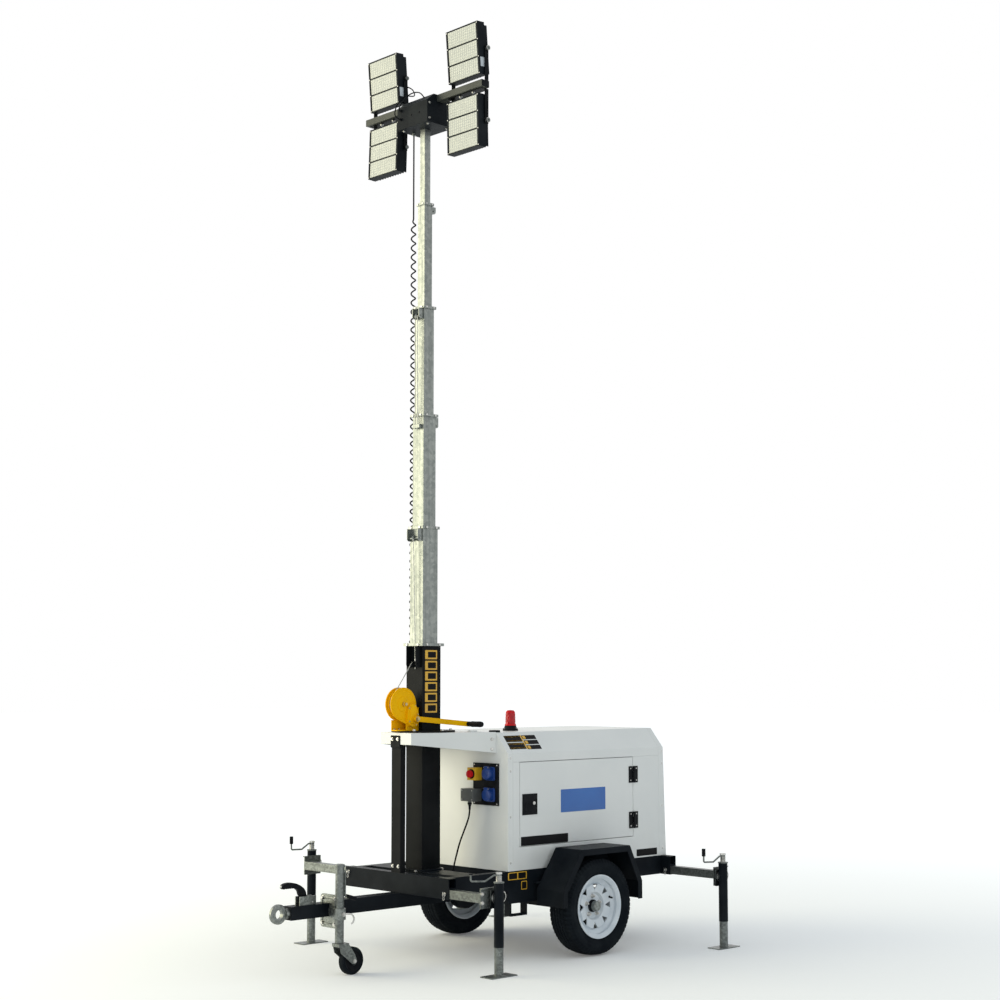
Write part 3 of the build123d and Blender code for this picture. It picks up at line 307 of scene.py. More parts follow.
red_plastic = finish("red_plastic", (0.66, 0.006, 0.012), (0.56, 0.005, 0.010), (0.22, 0.34), 700, patch=25,
                     sheen=0.2)
plate_blue = finish("plate_blue", (0.02, 0.12, 0.42), (0.024, 0.14, 0.46), (0.25, 0.35), 500, patch=6)
plate_black = finish("plate_black", (0.005, 0.005, 0.006), (0.009, 0.009, 0.010), (0.28, 0.40), 500, patch=6,
                     sheen=0.06)
plate_yellow = finish("plate_yellow", (0.74, 0.42, 0.03), (0.66, 0.37, 0.03), (0.30, 0.42), 500, patch=9)
plate_white = finish("plate_white", (0.60, 0.64, 0.67), (0.54, 0.58, 0.61), (0.30, 0.42), 500, patch=9)
engine_grey = finish("engine_grey", (0.16, 0.17, 0.18), (0.10, 0.11, 0.12), (0.55, 0.75), 240, patch=9)
print("rubber and plastic made")

# %% [markdown]
# A lamp's lens is clear over pale LED boards, so it reads as off-white. Its grey net is painted shade:
# the grooves between its domes are coloured darker, most at the foot of each dome. The net comes from
# an attribute of the mesh called relief, 1 on a dome and 0 in a groove, so it can't slip away from the
# shape.

# %% Lens finish
lens_white = finish("lens_white", (0.66, 0.665, 0.60), (0.60, 0.605, 0.55), (0.22, 0.34), 300, patch=30,
                    depth=0.0001, sheen=0.15)
# The darker colour in the grooves is painted shade, strongest where relief is 0.
grooves = lens_white.node_tree.nodes.new("ShaderNodeAttribute")
grooves.attribute_name = "relief"
recoloured(lens_white, grooves.outputs["Fac"], first=(0.47, 0.48, 0.445))
print("lens finish made")

# %% [markdown]
# The trailer stands on a pale floor in front of white. The world is plain white to the camera and
# to reflections, and a softer, slightly cool white as light. The floor adds a little white of its
# own to camera rays only, so it reads as white and still keeps the shadow of the trailer. Near the
# trailer that own white is smallest, which darkens the floor round it as painted shade.

# %% Stage


def seen_rays(tree):
    """1 for camera, glossy and transmission rays, 0 for every other ray."""
    path = tree.nodes.new("ShaderNodeLightPath")
    largest = path.outputs["Is Camera Ray"]
    for name in ("Is Glossy Ray", "Is Transmission Ray"):
        largest = joined(tree, "MAXIMUM", largest, path.outputs[name])
    return largest


def white_world(light, low, high):
    """World that shows white, and lights with the colour light: low times it at the horizon and
    high times it straight up."""
    world = bpy.data.worlds.new("studio")
    world.use_nodes = True
    tree = world.node_tree
    lit = tree.nodes["Background"]
    lit.inputs["Color"].default_value = (*light, 1)
    direction = tree.nodes.new("ShaderNodeTexCoord")
    split = tree.nodes.new("ShaderNodeSeparateXYZ")
    tree.links.new(direction.outputs["Generated"], split.inputs["Vector"])
    tree.links.new(between(tree, split.outputs["Z"], low, high), lit.inputs["Strength"])
    shown = tree.nodes.new("ShaderNodeBackground")
    shown.inputs["Color"].default_value = (1, 1, 1, 1)
    shown.inputs["Strength"].default_value = 1.0
    mix = tree.nodes.new("ShaderNodeMixShader")
    tree.links.new(seen_rays(tree), mix.inputs["Fac"])
    tree.links.new(lit.outputs["Background"], mix.inputs[1])
    tree.links.new(shown.outputs["Background"], mix.inputs[2])
    tree.links.new(mix.outputs["Shader"], tree.nodes["World Output"].inputs["Surface"])
    bpy.context.scene.world = world


# Distances from the middle over which the floor's own white rises; its small share inside is painted shade
# round the trailer.
FADE = (1.3, 9.0)


def white_floor(half, near, far):
    """Square floor of that half side at z 0. On seen rays its diffuse white gets some white of its
    own: as much as near up to the first distance of FADE, and as much as far from the second on.
    The small share near the trailer is painted shade round it."""
    mesh = bpy.data.meshes.new("floor")
    mesh.from_pydata([(-half, -half, 0), (half, -half, 0), (half, half, 0), (-half, half, 0)], [],
                     [(0, 1, 2, 3)])
    material, tree, shader = new_material("floor_white")
    shader.inputs["Base Color"].default_value = (0.88, 0.88, 0.88, 1)
    shader.inputs["Roughness"].default_value = 0.9
    shader.inputs["Specular IOR Level"].default_value = 0.0
    shader.inputs["Emission Color"].default_value = (1, 1, 1, 1)
    away = tree.nodes.new("ShaderNodeVectorMath")
    away.operation = "LENGTH"
    tree.links.new(object_place(tree), away.inputs[0])
    own = between(tree, away.outputs["Value"], near, far, *FADE)
    tree.links.new(joined(tree, "MULTIPLY", own, seen_rays(tree)), shader.inputs["Emission Strength"])
    mesh.materials.append(material)
    floor = placed("floor", mesh)


white_world((0.90, 0.97, 1.0), 0.92, 0.60)
# 0.10 of own white near the trailer is painted shade; 0.50 far off makes the far floor white.
white_floor(60.0, 0.10, 0.50)
print("stage made")

# %% [markdown]
# One tall, warm light stands to the left of the picture. It reaches the front faces of the canopy
# and mast at a slant and leaves the long side to the cool light of the sky, so the two
# faces of the mast part clearly: one bright, one grey.

# %% Key light
key_data = bpy.data.lights.new("key", "AREA")
key_data.shape = "RECTANGLE"
key_data.size = 7.0
key_data.size_y = 9.0
key_data.color = (1.0, 0.93, 0.64)
key_data.energy = 690.0
key = placed("key", key_data)
key.location = (MAST - 6.0, 6.0, 4.2)
key_aim = Vector((0.0, 0.0, 2.0)) - Vector(key.location)
key.rotation_euler = key_aim.to_track_quat("-Z", "Y").to_euler()
key.visible_camera = False
print("key light", round(key_data.energy))

# %% [markdown]
# The frame's meshes come with hard edges, but pressed sheet and cast iron catch light on every
# edge. Weld, planar decimate, a narrow bevel and weighted normals give each edge its small radius
# and leave the vertices of the frame alone. Where one piece of the frame carries two finishes, the
# centre of each polygon decides which one it gets.

# %% Dress the frame


def polygon_centres(mesh):
    """The centres of all polygons as three arrays x, y and z."""
    spots = np.empty(len(mesh.polygons) * 3)
    mesh.polygons.foreach_get("center", spots)
    return spots.reshape(-1, 3).T


def dress(name, base, *others, edge=0.0015, merge=True):
    """Give node name the finish base. Each of others is a pair: a finish, and a function that says
    from the arrays x, y, z which polygons wear it. Edges get a bevel edge metres wide. merge joins
    the triangles of each flat first; a flat with windows in it is left as triangles."""
    obj = nodes[name]
    mesh = obj.data
    mesh.materials.clear()
    mesh.materials.append(base)
    index = np.zeros(len(mesh.polygons), dtype=np.int32)
    x, y, z = polygon_centres(mesh)
    for number, (material, where) in enumerate(others, start=1):
        mesh.materials.append(material)
        index[where(x, y, z)] = number
    mesh.polygons.foreach_set("material_index", index)
    weld = obj.modifiers.new("weld", "WELD")
    weld.merge_threshold = 0.00005
    if merge:
        flat = obj.modifiers.new("flat", "DECIMATE")
        flat.decimate_type = "DISSOLVE"
        flat.angle_limit = math.radians(1.0)
        flat.delimit = {"MATERIAL"}
    bevel = obj.modifiers.new("bevel", "BEVEL")
    bevel.width = edge
    bevel.segments = 2
    bevel.limit_method = "ANGLE"
    bevel.angle_limit = math.radians(38)
    even = obj.modifiers.new("even", "WEIGHTED_NORMAL")
    even.keep_sharp = True
    return obj


PLAIN_NODES = (
    (white_coat, 0.002, ("canopy_front", "canopy_rear", "canopy_side_left", "canopy_side_right",
                         "canopy_roof", "door_left", "door_right", "bridge")),
    (black_coat, 0.0015, ("chassis_frame", "drawbar", "fuel_tank", "mudguards", "mast_foot")),
    (mast_black, 0.0015, ("post", "lamp_yokes")),
    (black_plastic, 0.001, ("door_hardware_left", "door_hardware_right", "hinge_leaves")),
    (rim_white, 0.001, ("rim_left", "rim_right")),
    (yellow_coat, 0.001, ("winch_frame", "winch_drum")),
    (engine_grey, 0.0015, ("engine_block",)),
    (cast_zinc, 0.0015, ("tow_eye",)),
    (arm_zinc, 0.001, ("jockey_fork",)),
    (grey_plastic, 0.003, ("panel_plug",)),
    (mast_zinc, 0.0012, tuple("mast_section_%d" % number for number in range(1, 6))),
)
for base, edge, names in PLAIN_NODES:
    for name in names:
        dress(name, base, edge=edge)
print("plain nodes dressed")

# %% [markdown]
# Some pieces change finish along the way: the coupling is a black tube with a zinc casting behind
# it, the axle ends in grey caps, and each jack is a black tube on a zinc arm. The lamps' flats
# have windows for the lenses, so their triangles stay as they are. The nodes that a later piece
# replaces get no finish here.

# %% Dress the nodes with two finishes


def far_from(x, y, at_x, at_y):
    """Distance of each point from the upright line through at_x, at_y."""
    return np.hypot(x - at_x, y - at_y)


dress("lamp_bars", olive_coat, (black_plastic, lambda x, y, z: abs(y) > 0.5235))
dress("head_box", lamp_black, (mast_zinc, lambda x, y, z: z < 4.868))
dress("axle", black_coat, (cast_zinc, lambda x, y, z: abs(y) > 0.6035))
dress("coupling", cast_zinc,
      (black_coat, lambda x, y, z: (x < AXLE - 1.5105) & (abs(y) < 0.041) & (z < 0.3825)))
dress("jockey_tube", arm_zinc, (black_plastic, lambda x, y, z: x > AXLE - 1.4745), edge=0.0008)
dress("jockey_wheel", black_plastic,
      (tyre_rubber, lambda x, y, z: np.hypot(x - (AXLE - 1.438), z - 0.074) > 0.058))
dress("mast_base", mast_black, (mast_zinc, lambda x, y, z: z > BASE_TOP - 0.0165))
dress("winch_crank", yellow_coat, (black_plastic, lambda x, y, z: (x > AXLE - 0.555) & (y < -0.085)))
dress("control_panel", black_plastic,
      (blue_plastic, lambda x, y, z: (x < AXLE - 0.5305) & (y < -0.24)),
      (amber_plastic, lambda x, y, z: (abs(x - AXLE + 0.5555) < 0.025) & (z > 1.008) & (y > -0.24)),
      (red_plastic, lambda x, y, z: x < AXLE - 0.5805), edge=0.002)
for side, sign in SIDES:
    for level in ("upper", "lower"):
        dress("lamp_%s_%s" % (level, side), lamp_black,
              (bright_steel, lambda x, y, z, mid=sign * LAMP_Y: abs(y - mid) > 0.1455), edge=0.0008,
              merge=False)
print("nodes dressed", sum(1 for node in nodes.values() if node.modifiers))

# %% [markdown]
# The four outriggers differ only in side, level and reach, so their measures are read from the
# frame: the pad is the outermost piece and lies centred under the jack.

# %% Dress the outriggers
PAD_HALF = 0.046
JACK_R = 0.027
JACK_ABOVE = 0.087
JACK_BELOW = 0.261
TUBE = 0.056
LEVELS = {"front_left": 0.5, "front_right": 1.5, "rear_left": 0.5, "rear_right": 1.5}


def jack_place(corner):
    """Side sign, and the x, y and arm height z of the jack at that corner of the trailer."""
    low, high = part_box("outrigger_" + corner)
    sign = -1 if corner.endswith("left") else 1
    at_y = low.y + PAD_HALF if sign < 0 else high.y - PAD_HALF
    station = AXLE - 0.977 + 0.069 if corner.startswith("front") else AXLE + 0.828 - 0.069
    return sign, station, at_y, SLEEVE_Z + TUBE * LEVELS[corner]


def jack_tube_faces(station, at_y, arm_z):
    """Mask function for the black tube of a jack, without the zinc flange at its top."""
    return lambda x, y, z: ((far_from(x, y, station, at_y) < JACK_R + 0.001)
                            & (z < arm_z + JACK_ABOVE - 0.0065) & (z > arm_z - JACK_BELOW - 0.001))


def swivel_face_shade(station, at_y, sign, arm_z):
    """Mask function for the outer face of the swivel plate behind the jack's tube. Its black is painted
    shade behind the tube.
    """
    face = at_y - sign * (JACK_R - 0.004)
    return lambda x, y, z: ((abs(y - face) < 0.0045) & (abs(x - station) < 0.0345)
                            & (far_from(x, y, station, at_y) > JACK_R) & (z < arm_z + 0.045))


def crank_knob(station, at_y, arm_z):
    """Mask function for the black knob on the end of a jack's crank."""
    return lambda x, y, z: ((abs(far_from(x, y, station, at_y) - 0.165) < 0.015)
                            & (z > arm_z + JACK_ABOVE + 0.0435))


for corner in LEVELS:
    sign, station, at_y, arm_z = jack_place(corner)
    dress("outrigger_" + corner, arm_zinc,
          (black_coat, jack_tube_faces(station, at_y, arm_z)),
          # The swivel plate's face gets black as painted shade behind the jack's tube.
          (mast_black, swivel_face_shade(station, at_y, sign, arm_z)),
          (black_plastic, crank_knob(station, at_y, arm_z)), edge=0.001)
dress("beacon", black_plastic, (red_plastic, lambda x, y, z: z > ROOF_Z + 0.032), edge=0.0008)
print("outriggers dressed")

# %% [markdown]
# Almost every small piece is a stack of closed loops: a tube, a bolt head, a plate with a chamfer.
# One function turns such a stack into faces, turned outward by the sign of the volume they
# enclose, so no piece can come out inside out.

# %% Helpers for stacks of loops
OUT = np.array([-1.0, 0.0, 0.0])
NEAR = (0.0, -1.0, 0.0)
UP = (0.0, 0.0, 1.0)
DOWN = (0.0, 0.0, -1.0)
FACING_FRONT = ((0, -1, 0), (0, 0, 1))
FACING_NEAR = ((1, 0, 0), (0, 0, 1))
FACING_UP = ((1, 0, 0), (0, 1, 0))


def stack(points, ring=False):
    """Vertices and faces from points of shape loops, corners, 3. Quads join each loop to the next.
    ring joins the last loop to the first; otherwise both ends get a cap. The volume is the sum over
    triangles of a . (b x c) / 6, and where it is negative every face is turned over."""
    loops, corners = points.shape[:2]
    flat = points.reshape(-1, 3)
    number = np.arange(loops * corners).reshape(loops, corners)
    below = number if ring else number[:-1]
    above = np.roll(number, -1, axis=0) if ring else number[1:]
    quads = np.stack([below, np.roll(below, -1, axis=1), np.roll(above, -1, axis=1), above], axis=-1)
    quads = quads.reshape(-1, 4)
    caps = [] if ring else [number[0][::-1], number[-1]]
    fans = [np.stack([np.full(corners - 2, cap[0]), cap[1:-1], cap[2:]], axis=-1) for cap in caps]
    corner = flat[np.concatenate([quads[:, [0, 1, 2]], quads[:, [0, 2, 3]], *fans])]
    volume = np.einsum("ij,ij->", corner[:, 0], np.cross(corner[:, 1], corner[:, 2]))
    faces = quads.tolist() + [cap.tolist() for cap in caps]
    if volume < 0:
        faces = [face[::-1] for face in faces]
    return flat, faces


def piece(name, solids, material, body, smooth=35):
    """One object from many solids, smooth except at edges sharper than smooth degrees. It rides on
    body, unless body is None."""
    counts = np.cumsum([0] + [len(solid[0]) for solid in solids])
    vertices = np.concatenate([solid[0] for solid in solids])
    faces = [[int(first) + corner for corner in face]
             for first, solid in zip(counts, solids) for face in solid[1]]
    mesh = bpy.data.meshes.new(name)
    mesh.from_pydata(vertices.tolist(), [], faces)
    mesh.shade_smooth()
    mesh.set_sharp_from_angle(angle=math.radians(smooth))
    mesh.materials.append(material)
    obj = placed(name, mesh)
    if body:
        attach(obj, body)
    return obj


def across(axis):
    """Two unit vectors square to axis and to each other."""
    axis = np.asarray(axis, float) / np.linalg.norm(axis)
    first = np.cross(UP if abs(axis[2]) < 0.9 else (1, 0, 0), axis)
    first /= np.linalg.norm(first)
    return first, np.cross(axis, first)


def turned(start, axis, profile, corners=24):
    """A turned solid: profile holds pairs of distance along axis from start, and radius. Each pair
    is a circle start + along * axis + radius * (cos u * first + sin u * second)."""
    axis = np.asarray(axis, float) / np.linalg.norm(axis)
    first, second = across(axis)
    along, radius = np.asarray(profile, float).T
    turn = np.linspace(0, 2 * np.pi, corners, endpoint=False)
    circle = np.cos(turn)[:, None] * first + np.sin(turn)[:, None] * second
    middle = np.asarray(start, float) + along[:, None] * axis
    return stack(middle[:, None] + radius[:, None, None] * circle[None])


def plate(outline, origin, right, up, thickness, edge=0.0008):
    """A flat piece: outline is pairs along right and up from origin, and thickness is along
    right x up. The front edge is chamfered: the last loop is the outline drawn in by edge along the
    mean of the normals of the two sides that meet at each corner."""
    outline = np.asarray(outline, float)
    right, up = np.asarray(right, float), np.asarray(up, float)
    normal = np.cross(right, up)
    following = np.roll(outline, -1, axis=0)
    side = following - outline
    side /= np.linalg.norm(side, axis=1)[:, None]
    inward = np.stack([-side[:, 1], side[:, 0]], axis=1)
    mean = inward + np.roll(inward, 1, axis=0)
    mean /= np.einsum("ij,ij->i", mean, inward)[:, None]
    signed = np.sum(outline[:, 0] * following[:, 1] - outline[:, 1] * following[:, 0])
    drawn_in = outline + np.sign(signed) * edge * mean
    loops = [(outline, 0.0), (outline, thickness - edge), (drawn_in, thickness)]
    points = [np.asarray(origin, float) + flat[:, :1] * right + flat[:, 1:] * up + height * normal
              for flat, height in loops]
    return stack(np.stack(points))


def rounded(width, height, radius, steps=5):
    """Outline of a rectangle round 0, 0 whose corners are quarter circles of that radius."""
    quarter = np.linspace(0, np.pi / 2, steps)
    corners = ((1, 1, 0), (-1, 1, 1), (-1, -1, 2), (1, -1, 3))
    parts = [np.stack([sx * (width / 2 - radius) + radius * np.cos(quarter + k * np.pi / 2),
                       sy * (height / 2 - radius) + radius * np.sin(quarter + k * np.pi / 2)], axis=1)
             for sx, sy, k in corners]
    return np.concatenate(parts)


def regular(radius, corners, turn=0.0):
    """Outline of a regular polygon round 0, 0 with that outer radius."""
    angle = turn + np.linspace(0, 2 * np.pi, corners, endpoint=False)
    return np.stack([radius * np.cos(angle), radius * np.sin(angle)], axis=1)


def tube(path, radius, corners=12, reference=(0, 0, 1)):
    """A round bar along path. At each point a circle lies square to the mean direction, found from
    the differences between neighbouring points."""
    path = np.asarray(path, float)
    along = np.gradient(path, axis=0)
    along /= np.linalg.norm(along, axis=1)[:, None]
    first = np.cross(np.asarray(reference, float), along)
    first /= np.linalg.norm(first, axis=1)[:, None]
    second = np.cross(along, first)
    turn = np.linspace(0, 2 * np.pi, corners, endpoint=False)
    circle = np.cos(turn)[None, :, None] * first[:, None] + np.sin(turn)[None, :, None] * second[:, None]
    return stack(path[:, None] + np.reshape(radius, (-1, 1, 1)) * circle)


def flowing(points, count=60):
    """Points along a Catmull-Rom curve through points, count in all. Each stretch is the usual cubic
    of the four points round it, worked out for all the parameters at once."""
    points = np.asarray(points, float)
    ends = np.concatenate([[2 * points[0] - points[1]], points, [2 * points[-1] - points[-2]]])
    place = np.linspace(0, len(points) - 1 - 1e-9, count)
    index = place.astype(int)
    t = (place - index)[:, None]
    a, b, c, d = ends[index], ends[index + 1], ends[index + 2], ends[index + 3]
    return 0.5 * (2 * b + (c - a) * t + (2 * a - 5 * b + 4 * c - d) * t ** 2
                  + (3 * b - a - 3 * c + d) * t ** 3)


def bolt(at, axis, size, washer=True):
    """Solids of a hexagon head of that size across its corners, with a turned washer under it, on a
    surface at the point at that faces along axis."""
    axis = np.asarray(axis, float) / np.linalg.norm(axis)
    first, second = across(axis)
    rise = 0.12 * size if washer else 0.0
    head = np.asarray(at, float) + rise * axis
    solids = [plate(regular(size / 2, 6), head, first, second, 0.42 * size, 0.06 * size)]
    if washer:
        solids.append(turned(at, axis, [(-0.0005, 0.66 * size), (rise, 0.66 * size)], 20))
    return solids


def bolts(places, axis, size, washer=True):
    """Solids of a bolt at each of places, all facing along axis."""
    return [solid for place in places for solid in bolt(place, axis, size, washer)]


def rivet(at, axis, radius):
    """Solid of a domed rivet head: circles that shrink as the cosine while they rise as the sine."""
    rise = np.linspace(0.0, 0.46 * np.pi, 6)
    profile = np.stack([0.45 * radius * np.sin(rise) - 0.0002, radius * np.cos(rise)], axis=1)
    return turned(at, axis, profile, 16)


print("helpers ready")

# %% [markdown]
# A tyre is a profile carried round the axle. The tread is cut into it: four grooves run round,
# and short slots cross the shoulders between them. Every cut goes inward, so the tyre keeps its
# true size. The sidewall gets a few fine rings, which is what makes rubber read as moulded.

# %% Tyres
TREAD_BLOCKS = 64
TYRE_STEPS = 768
TYRE_KEYS = np.array([
    (0.272, -0.066), (0.2785, -0.030), (0.280, 0.0), (0.2785, 0.030), (0.272, 0.066), (0.250, 0.080),
    (0.226, 0.0825), (0.200, 0.0745), (0.1835, 0.067), (0.166, 0.059), (0.166, -0.059), (0.1835, -0.067),
    (0.200, -0.0745), (0.226, -0.0825), (0.250, -0.080),
])
TYRE_COUNTS = (8, 14, 14, 8, 4, 5, 5, 3, 3, 3, 3, 3, 5, 5, 4)


def tyre_profile():
    """Radius and distance from mid-wheel of every point round the tyre's section: each key is
    joined to the next by its own number of even steps."""
    following = np.roll(TYRE_KEYS, -1, axis=0)
    stretches = [here + np.linspace(0, 1, count, endpoint=False)[:, None] * (there - here)
                 for here, there, count in zip(TYRE_KEYS, following, TYRE_COUNTS)]
    return np.concatenate(stretches)


def edge_of(distance, half, soft=0.0012):
    """1 inside a groove of that half width, 0 outside, and a straight ramp soft wide between."""
    return np.clip((half - np.abs(distance)) / soft + 0.5, 0, 1)


def tyre(name, sign, body):
    """The section carried round the axle. Depth of cut is the largest of the round grooves, the
    zigzag one among them, and the shoulder slots; it is taken off the radius of the tread."""
    radius, offset = tyre_profile().T
    turn = np.linspace(0, 2 * np.pi, TYRE_STEPS, endpoint=False)[:, None]
    wave = np.abs(((turn * TREAD_BLOCKS / (2 * np.pi)) % 1) * 2 - 1) - 0.5
    middle = edge_of(offset - 0.004 * wave, 0.0024)
    rounds = np.maximum(edge_of(np.abs(offset) - 0.021 - 0.003 * wave, 0.0026),
                        edge_of(np.abs(offset) - 0.045, 0.0020))
    shift = (turn * TREAD_BLOCKS / (2 * np.pi) + 9.0 * offset) % 1 - 0.5
    slots = edge_of(shift, 0.10, 0.06) * (np.abs(offset) > 0.047)
    sipes = edge_of(shift, 0.05, 0.06) * (np.abs(np.abs(offset) - 0.034) < 0.0095)
    tread = np.clip((radius - 0.2705) / 0.0015, 0, 1)
    shoulder = np.clip((radius - 0.2505) / 0.002, 0, 1)
    cut = np.maximum.reduce([0.0065 * middle * tread, 0.0065 * rounds * tread,
                             0.0055 * slots * shoulder, 0.004 * sipes * tread])
    rings = 0.0006 * (edge_of(radius - 0.2175, 0.002) + edge_of(radius - 0.2435, 0.0016))
    across_y = offset - np.sign(offset) * rings
    points = np.stack([
        AXLE + (radius - cut) * np.cos(turn),
        sign * WHEEL_Y + across_y + 0 * turn,
        WHEEL_R + (radius - cut) * np.sin(turn),
    ], axis=-1)
    return piece(name, [stack(points, ring=True)], tyre_rubber, body, smooth=40)


for side, sign in SIDES:
    shown = tyre("tread_" + side, sign, "wheel_" + side)
    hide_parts("tyre_" + side)
print("tyre triangles", 2 * TYRE_STEPS * sum(TYRE_COUNTS))

# %% [markdown]
# Each wheel is held by five cone nuts round the hub, and a rubber valve stands in the dish of the
# rim. They are placed by angle round the axle, so the same lines serve both sides.

# %% Wheel nuts and valves
NUT_CIRCLE = 0.056
VALVE_ANGLE = math.radians(20)


def round_wheel(sign, radius, angle, outward):
    """Point at that radius and angle round a wheel's axle, outward metres from mid-wheel."""
    return np.array([AXLE + radius * math.cos(angle), sign * (WHEEL_Y + outward),
                     WHEEL_R + radius * math.sin(angle)])


for side, sign in SIDES:
    nuts = []
    for turn in np.linspace(0, 2 * np.pi, 5, endpoint=False) + np.pi / 2:
        seat = round_wheel(sign, NUT_CIRCLE, turn, 0.0138)
        nuts.append(turned(seat, (0, sign, 0), [(0, 0.0125), (0.003, 0.0125), (0.006, 0.009)], 20))
        nuts += bolt(round_wheel(sign, NUT_CIRCLE, turn, 0.0190), (0, sign, 0), 0.021, washer=False)
        nuts.append(turned(round_wheel(sign, NUT_CIRCLE, turn, 0.0270), (0, sign, 0),
                           [(0, 0.0055), (0.008, 0.0055), (0.0095, 0.0042)], 16))
    piece("wheel_nuts_" + side, nuts, bright_steel, "wheel_" + side)
    foot = round_wheel(sign, 0.127, VALVE_ANGLE, 0.036)
    tip = round_wheel(sign, 0.119, VALVE_ANGLE, 0.068)
    stem = [(0, 0.0075), (0.006, 0.0070), (0.010, 0.0048), (0.022, 0.0045), (0.0225, 0.0055),
            (0.033, 0.0055)]
    piece("valve_" + side, [turned(foot, tip - foot, stem, 16)], cord_rubber, "wheel_" + side)
print("wheel trim made")

# %% [markdown]
# The canopy is riveted at its corners and has a latch with a lock on each door. The loop does both
# sides at once: sign turns every place and direction over to the other side.

# %% Canopy trim
RIVET_Z = (1.141, 1.066, 0.806, 0.546)
LATCH = (AXLE - 0.345, 0.872)
HINGE_Z = (1.009, 0.733)
DOOR_REAR = AXLE + 0.552
SKIN = 0.004


def on_side(sign, station, height, out=0.0):
    """Point on the canopy's flat side."""
    return np.array([station, sign * (HALF_W + out), height])


def side_plate(sign, station, height, width, tall, thick, out=0.0, radius=0.004, edge=0.0004):
    """A plate on the canopy's side: centre, width along X, height, thickness and corner radius."""
    start = on_side(sign, station, height, out - 0.0002)
    return plate(rounded(width, tall, radius), start, (-sign, 0, 0), UP, thick, edge)


for side, sign in SIDES:
    door = side + "_door"
    rivets = [rivet(on_side(sign, station, height), (0, sign, 0), 0.0065)
              for station in (AXLE - 0.499, AXLE + 0.822) for height in RIVET_Z]
    piece("canopy_rivets_" + side, rivets, bright_steel, "trailer")
    for name, station, body in (("hinge_screws_", DOOR_REAR - 0.024, door),
                                ("hinge_leaf_screws_", DOOR_REAR + 0.026, "trailer")):
        screws = [rivet(on_side(sign, station, height + step, SKIN), (0, sign, 0), 0.0045)
                  for height in HINGE_Z for step in (-0.036, 0.036)]
        piece(name + side, screws, bright_steel, body)
    paddle = [side_plate(sign, LATCH[0], LATCH[1], 0.104, 0.104, 0.0022, SKIN, 0.008, 0.001),
              side_plate(sign, LATCH[0] - 0.006, LATCH[1] - 0.016, 0.074, 0.050, 0.0055, SKIN, 0.006, 0.002)]
    piece("latch_paddle_" + side, paddle, black_plastic, door)
    lock_at = on_side(sign, LATCH[0] + 0.026, LATCH[1] + 0.006, SKIN + 0.0050)
    lock = [turned(lock_at, (0, sign, 0), [(0, 0.0100), (0.0035, 0.0100), (0.0045, 0.0085)], 24),
            plate(rounded(0.003, 0.011, 0.0010), lock_at + (0, sign * 0.0043, 0), (-sign, 0, 0), UP, 0.0012,
                  0.0003)]
    piece("latch_lock_" + side, lock, bright_steel, door)
print("canopy fasteners made")

# %% [markdown]
# The near side carries plates without any text: one large and blue on the door, a dark strip, a
# small one at the rear, and yellow frames with dark fields on the rail. Every plate is a thin
# chamfered slab, about a millimetre proud. One table holds them, so that each row is only a name, a
# finish, the body that it rides on, and its sizes.

# %% Blank plates of the near side
NEAR_PLATES = (
    ("plate_large", plate_blue, "left_door", ((0.107, 0.878, 0.386, 0.134, 0.0012),)),
    ("plate_strip", plate_black, "left_door", ((-0.221, 0.663, 0.391, 0.052, 0.0010),)),
    ("plate_small", plate_black, "trailer", ((0.674, 0.530, 0.190, 0.042, 0.0010),)),
    ("rail_label_frames", plate_yellow, "trailer", ((-0.445, 0.472, 0.150, 0.042, 0.0008),
                                                    (-0.391, 0.415, 0.046, 0.048, 0.0008))),
    ("rail_label_fields", plate_black, "trailer", ((-0.480, 0.472, 0.066, 0.034, 0.0010),
                                                   (-0.408, 0.472, 0.062, 0.034, 0.0010),
                                                   (-0.391, 0.415, 0.038, 0.040, 0.0010))),
)
for name, material, body, rows in NEAR_PLATES:
    piece(name, [side_plate(-1, AXLE + station, *sizes) for station, *sizes in rows], material, body)
print("blank plates made")

# %% [markdown]
# On the near slope of the roof lie dark labels with yellow panes. They are laid out along the slope
# itself, so a label is placed by how far it is up from the eave.

# %% Blank labels on the roof slope
ROOF_HALF = 0.321
SLOPE_UP = np.array([0.0, HALF_W - ROOF_HALF, ROOF_Z - EAVE_Z])
SLOPE_UP = SLOPE_UP / np.linalg.norm(SLOPE_UP)
ROWS = [0.040 + 0.036 * row for row in range(3)]


def slope_plate(station, climb, width, tall, thick):
    """A plate on the near roof slope, climb metres up from the eave along the slope."""
    start = np.array([station, -HALF_W, EAVE_Z]) + climb * SLOPE_UP
    normal = np.cross((1, 0, 0), SLOPE_UP)
    return plate(rounded(width, tall, 0.003), start - 0.0002 * normal, (1, 0, 0), SLOPE_UP, thick, 0.0003)


fields = [(-0.415, climb, 0.130, 0.046, 0.0008) for climb in (0.052, 0.104)]
fields += [(-0.282, climb, 0.112, 0.030, 0.0008) for climb in ROWS]
panes = [(-0.344, 0.078, 0.010, 0.102, 0.0008)]
panes += [(-0.415, climb, 0.116, 0.004, 0.0010) for climb in (0.037, 0.066, 0.089, 0.118)]
panes += [(-0.322, climb, 0.022, 0.022, 0.0010) for climb in ROWS]
for name, rows, material in (("fields", fields, plate_black), ("panes", panes, plate_yellow)):
    solids = [slope_plate(AXLE + station, *sizes) for station, *sizes in rows]
    piece("slope_label_" + name, solids, material, "trailer")
print("slope labels made")

# %% [markdown]
# A beacon's lens is ribbed inside so that the lamp in it flashes evenly to all sides. The ribs are
# a cosine on the radius of a turned dome.

# %% Beacon
BEACON = (AXLE - 0.215, -0.125)
SCREW_CIRCLE = 0.0405
RIBS = 24


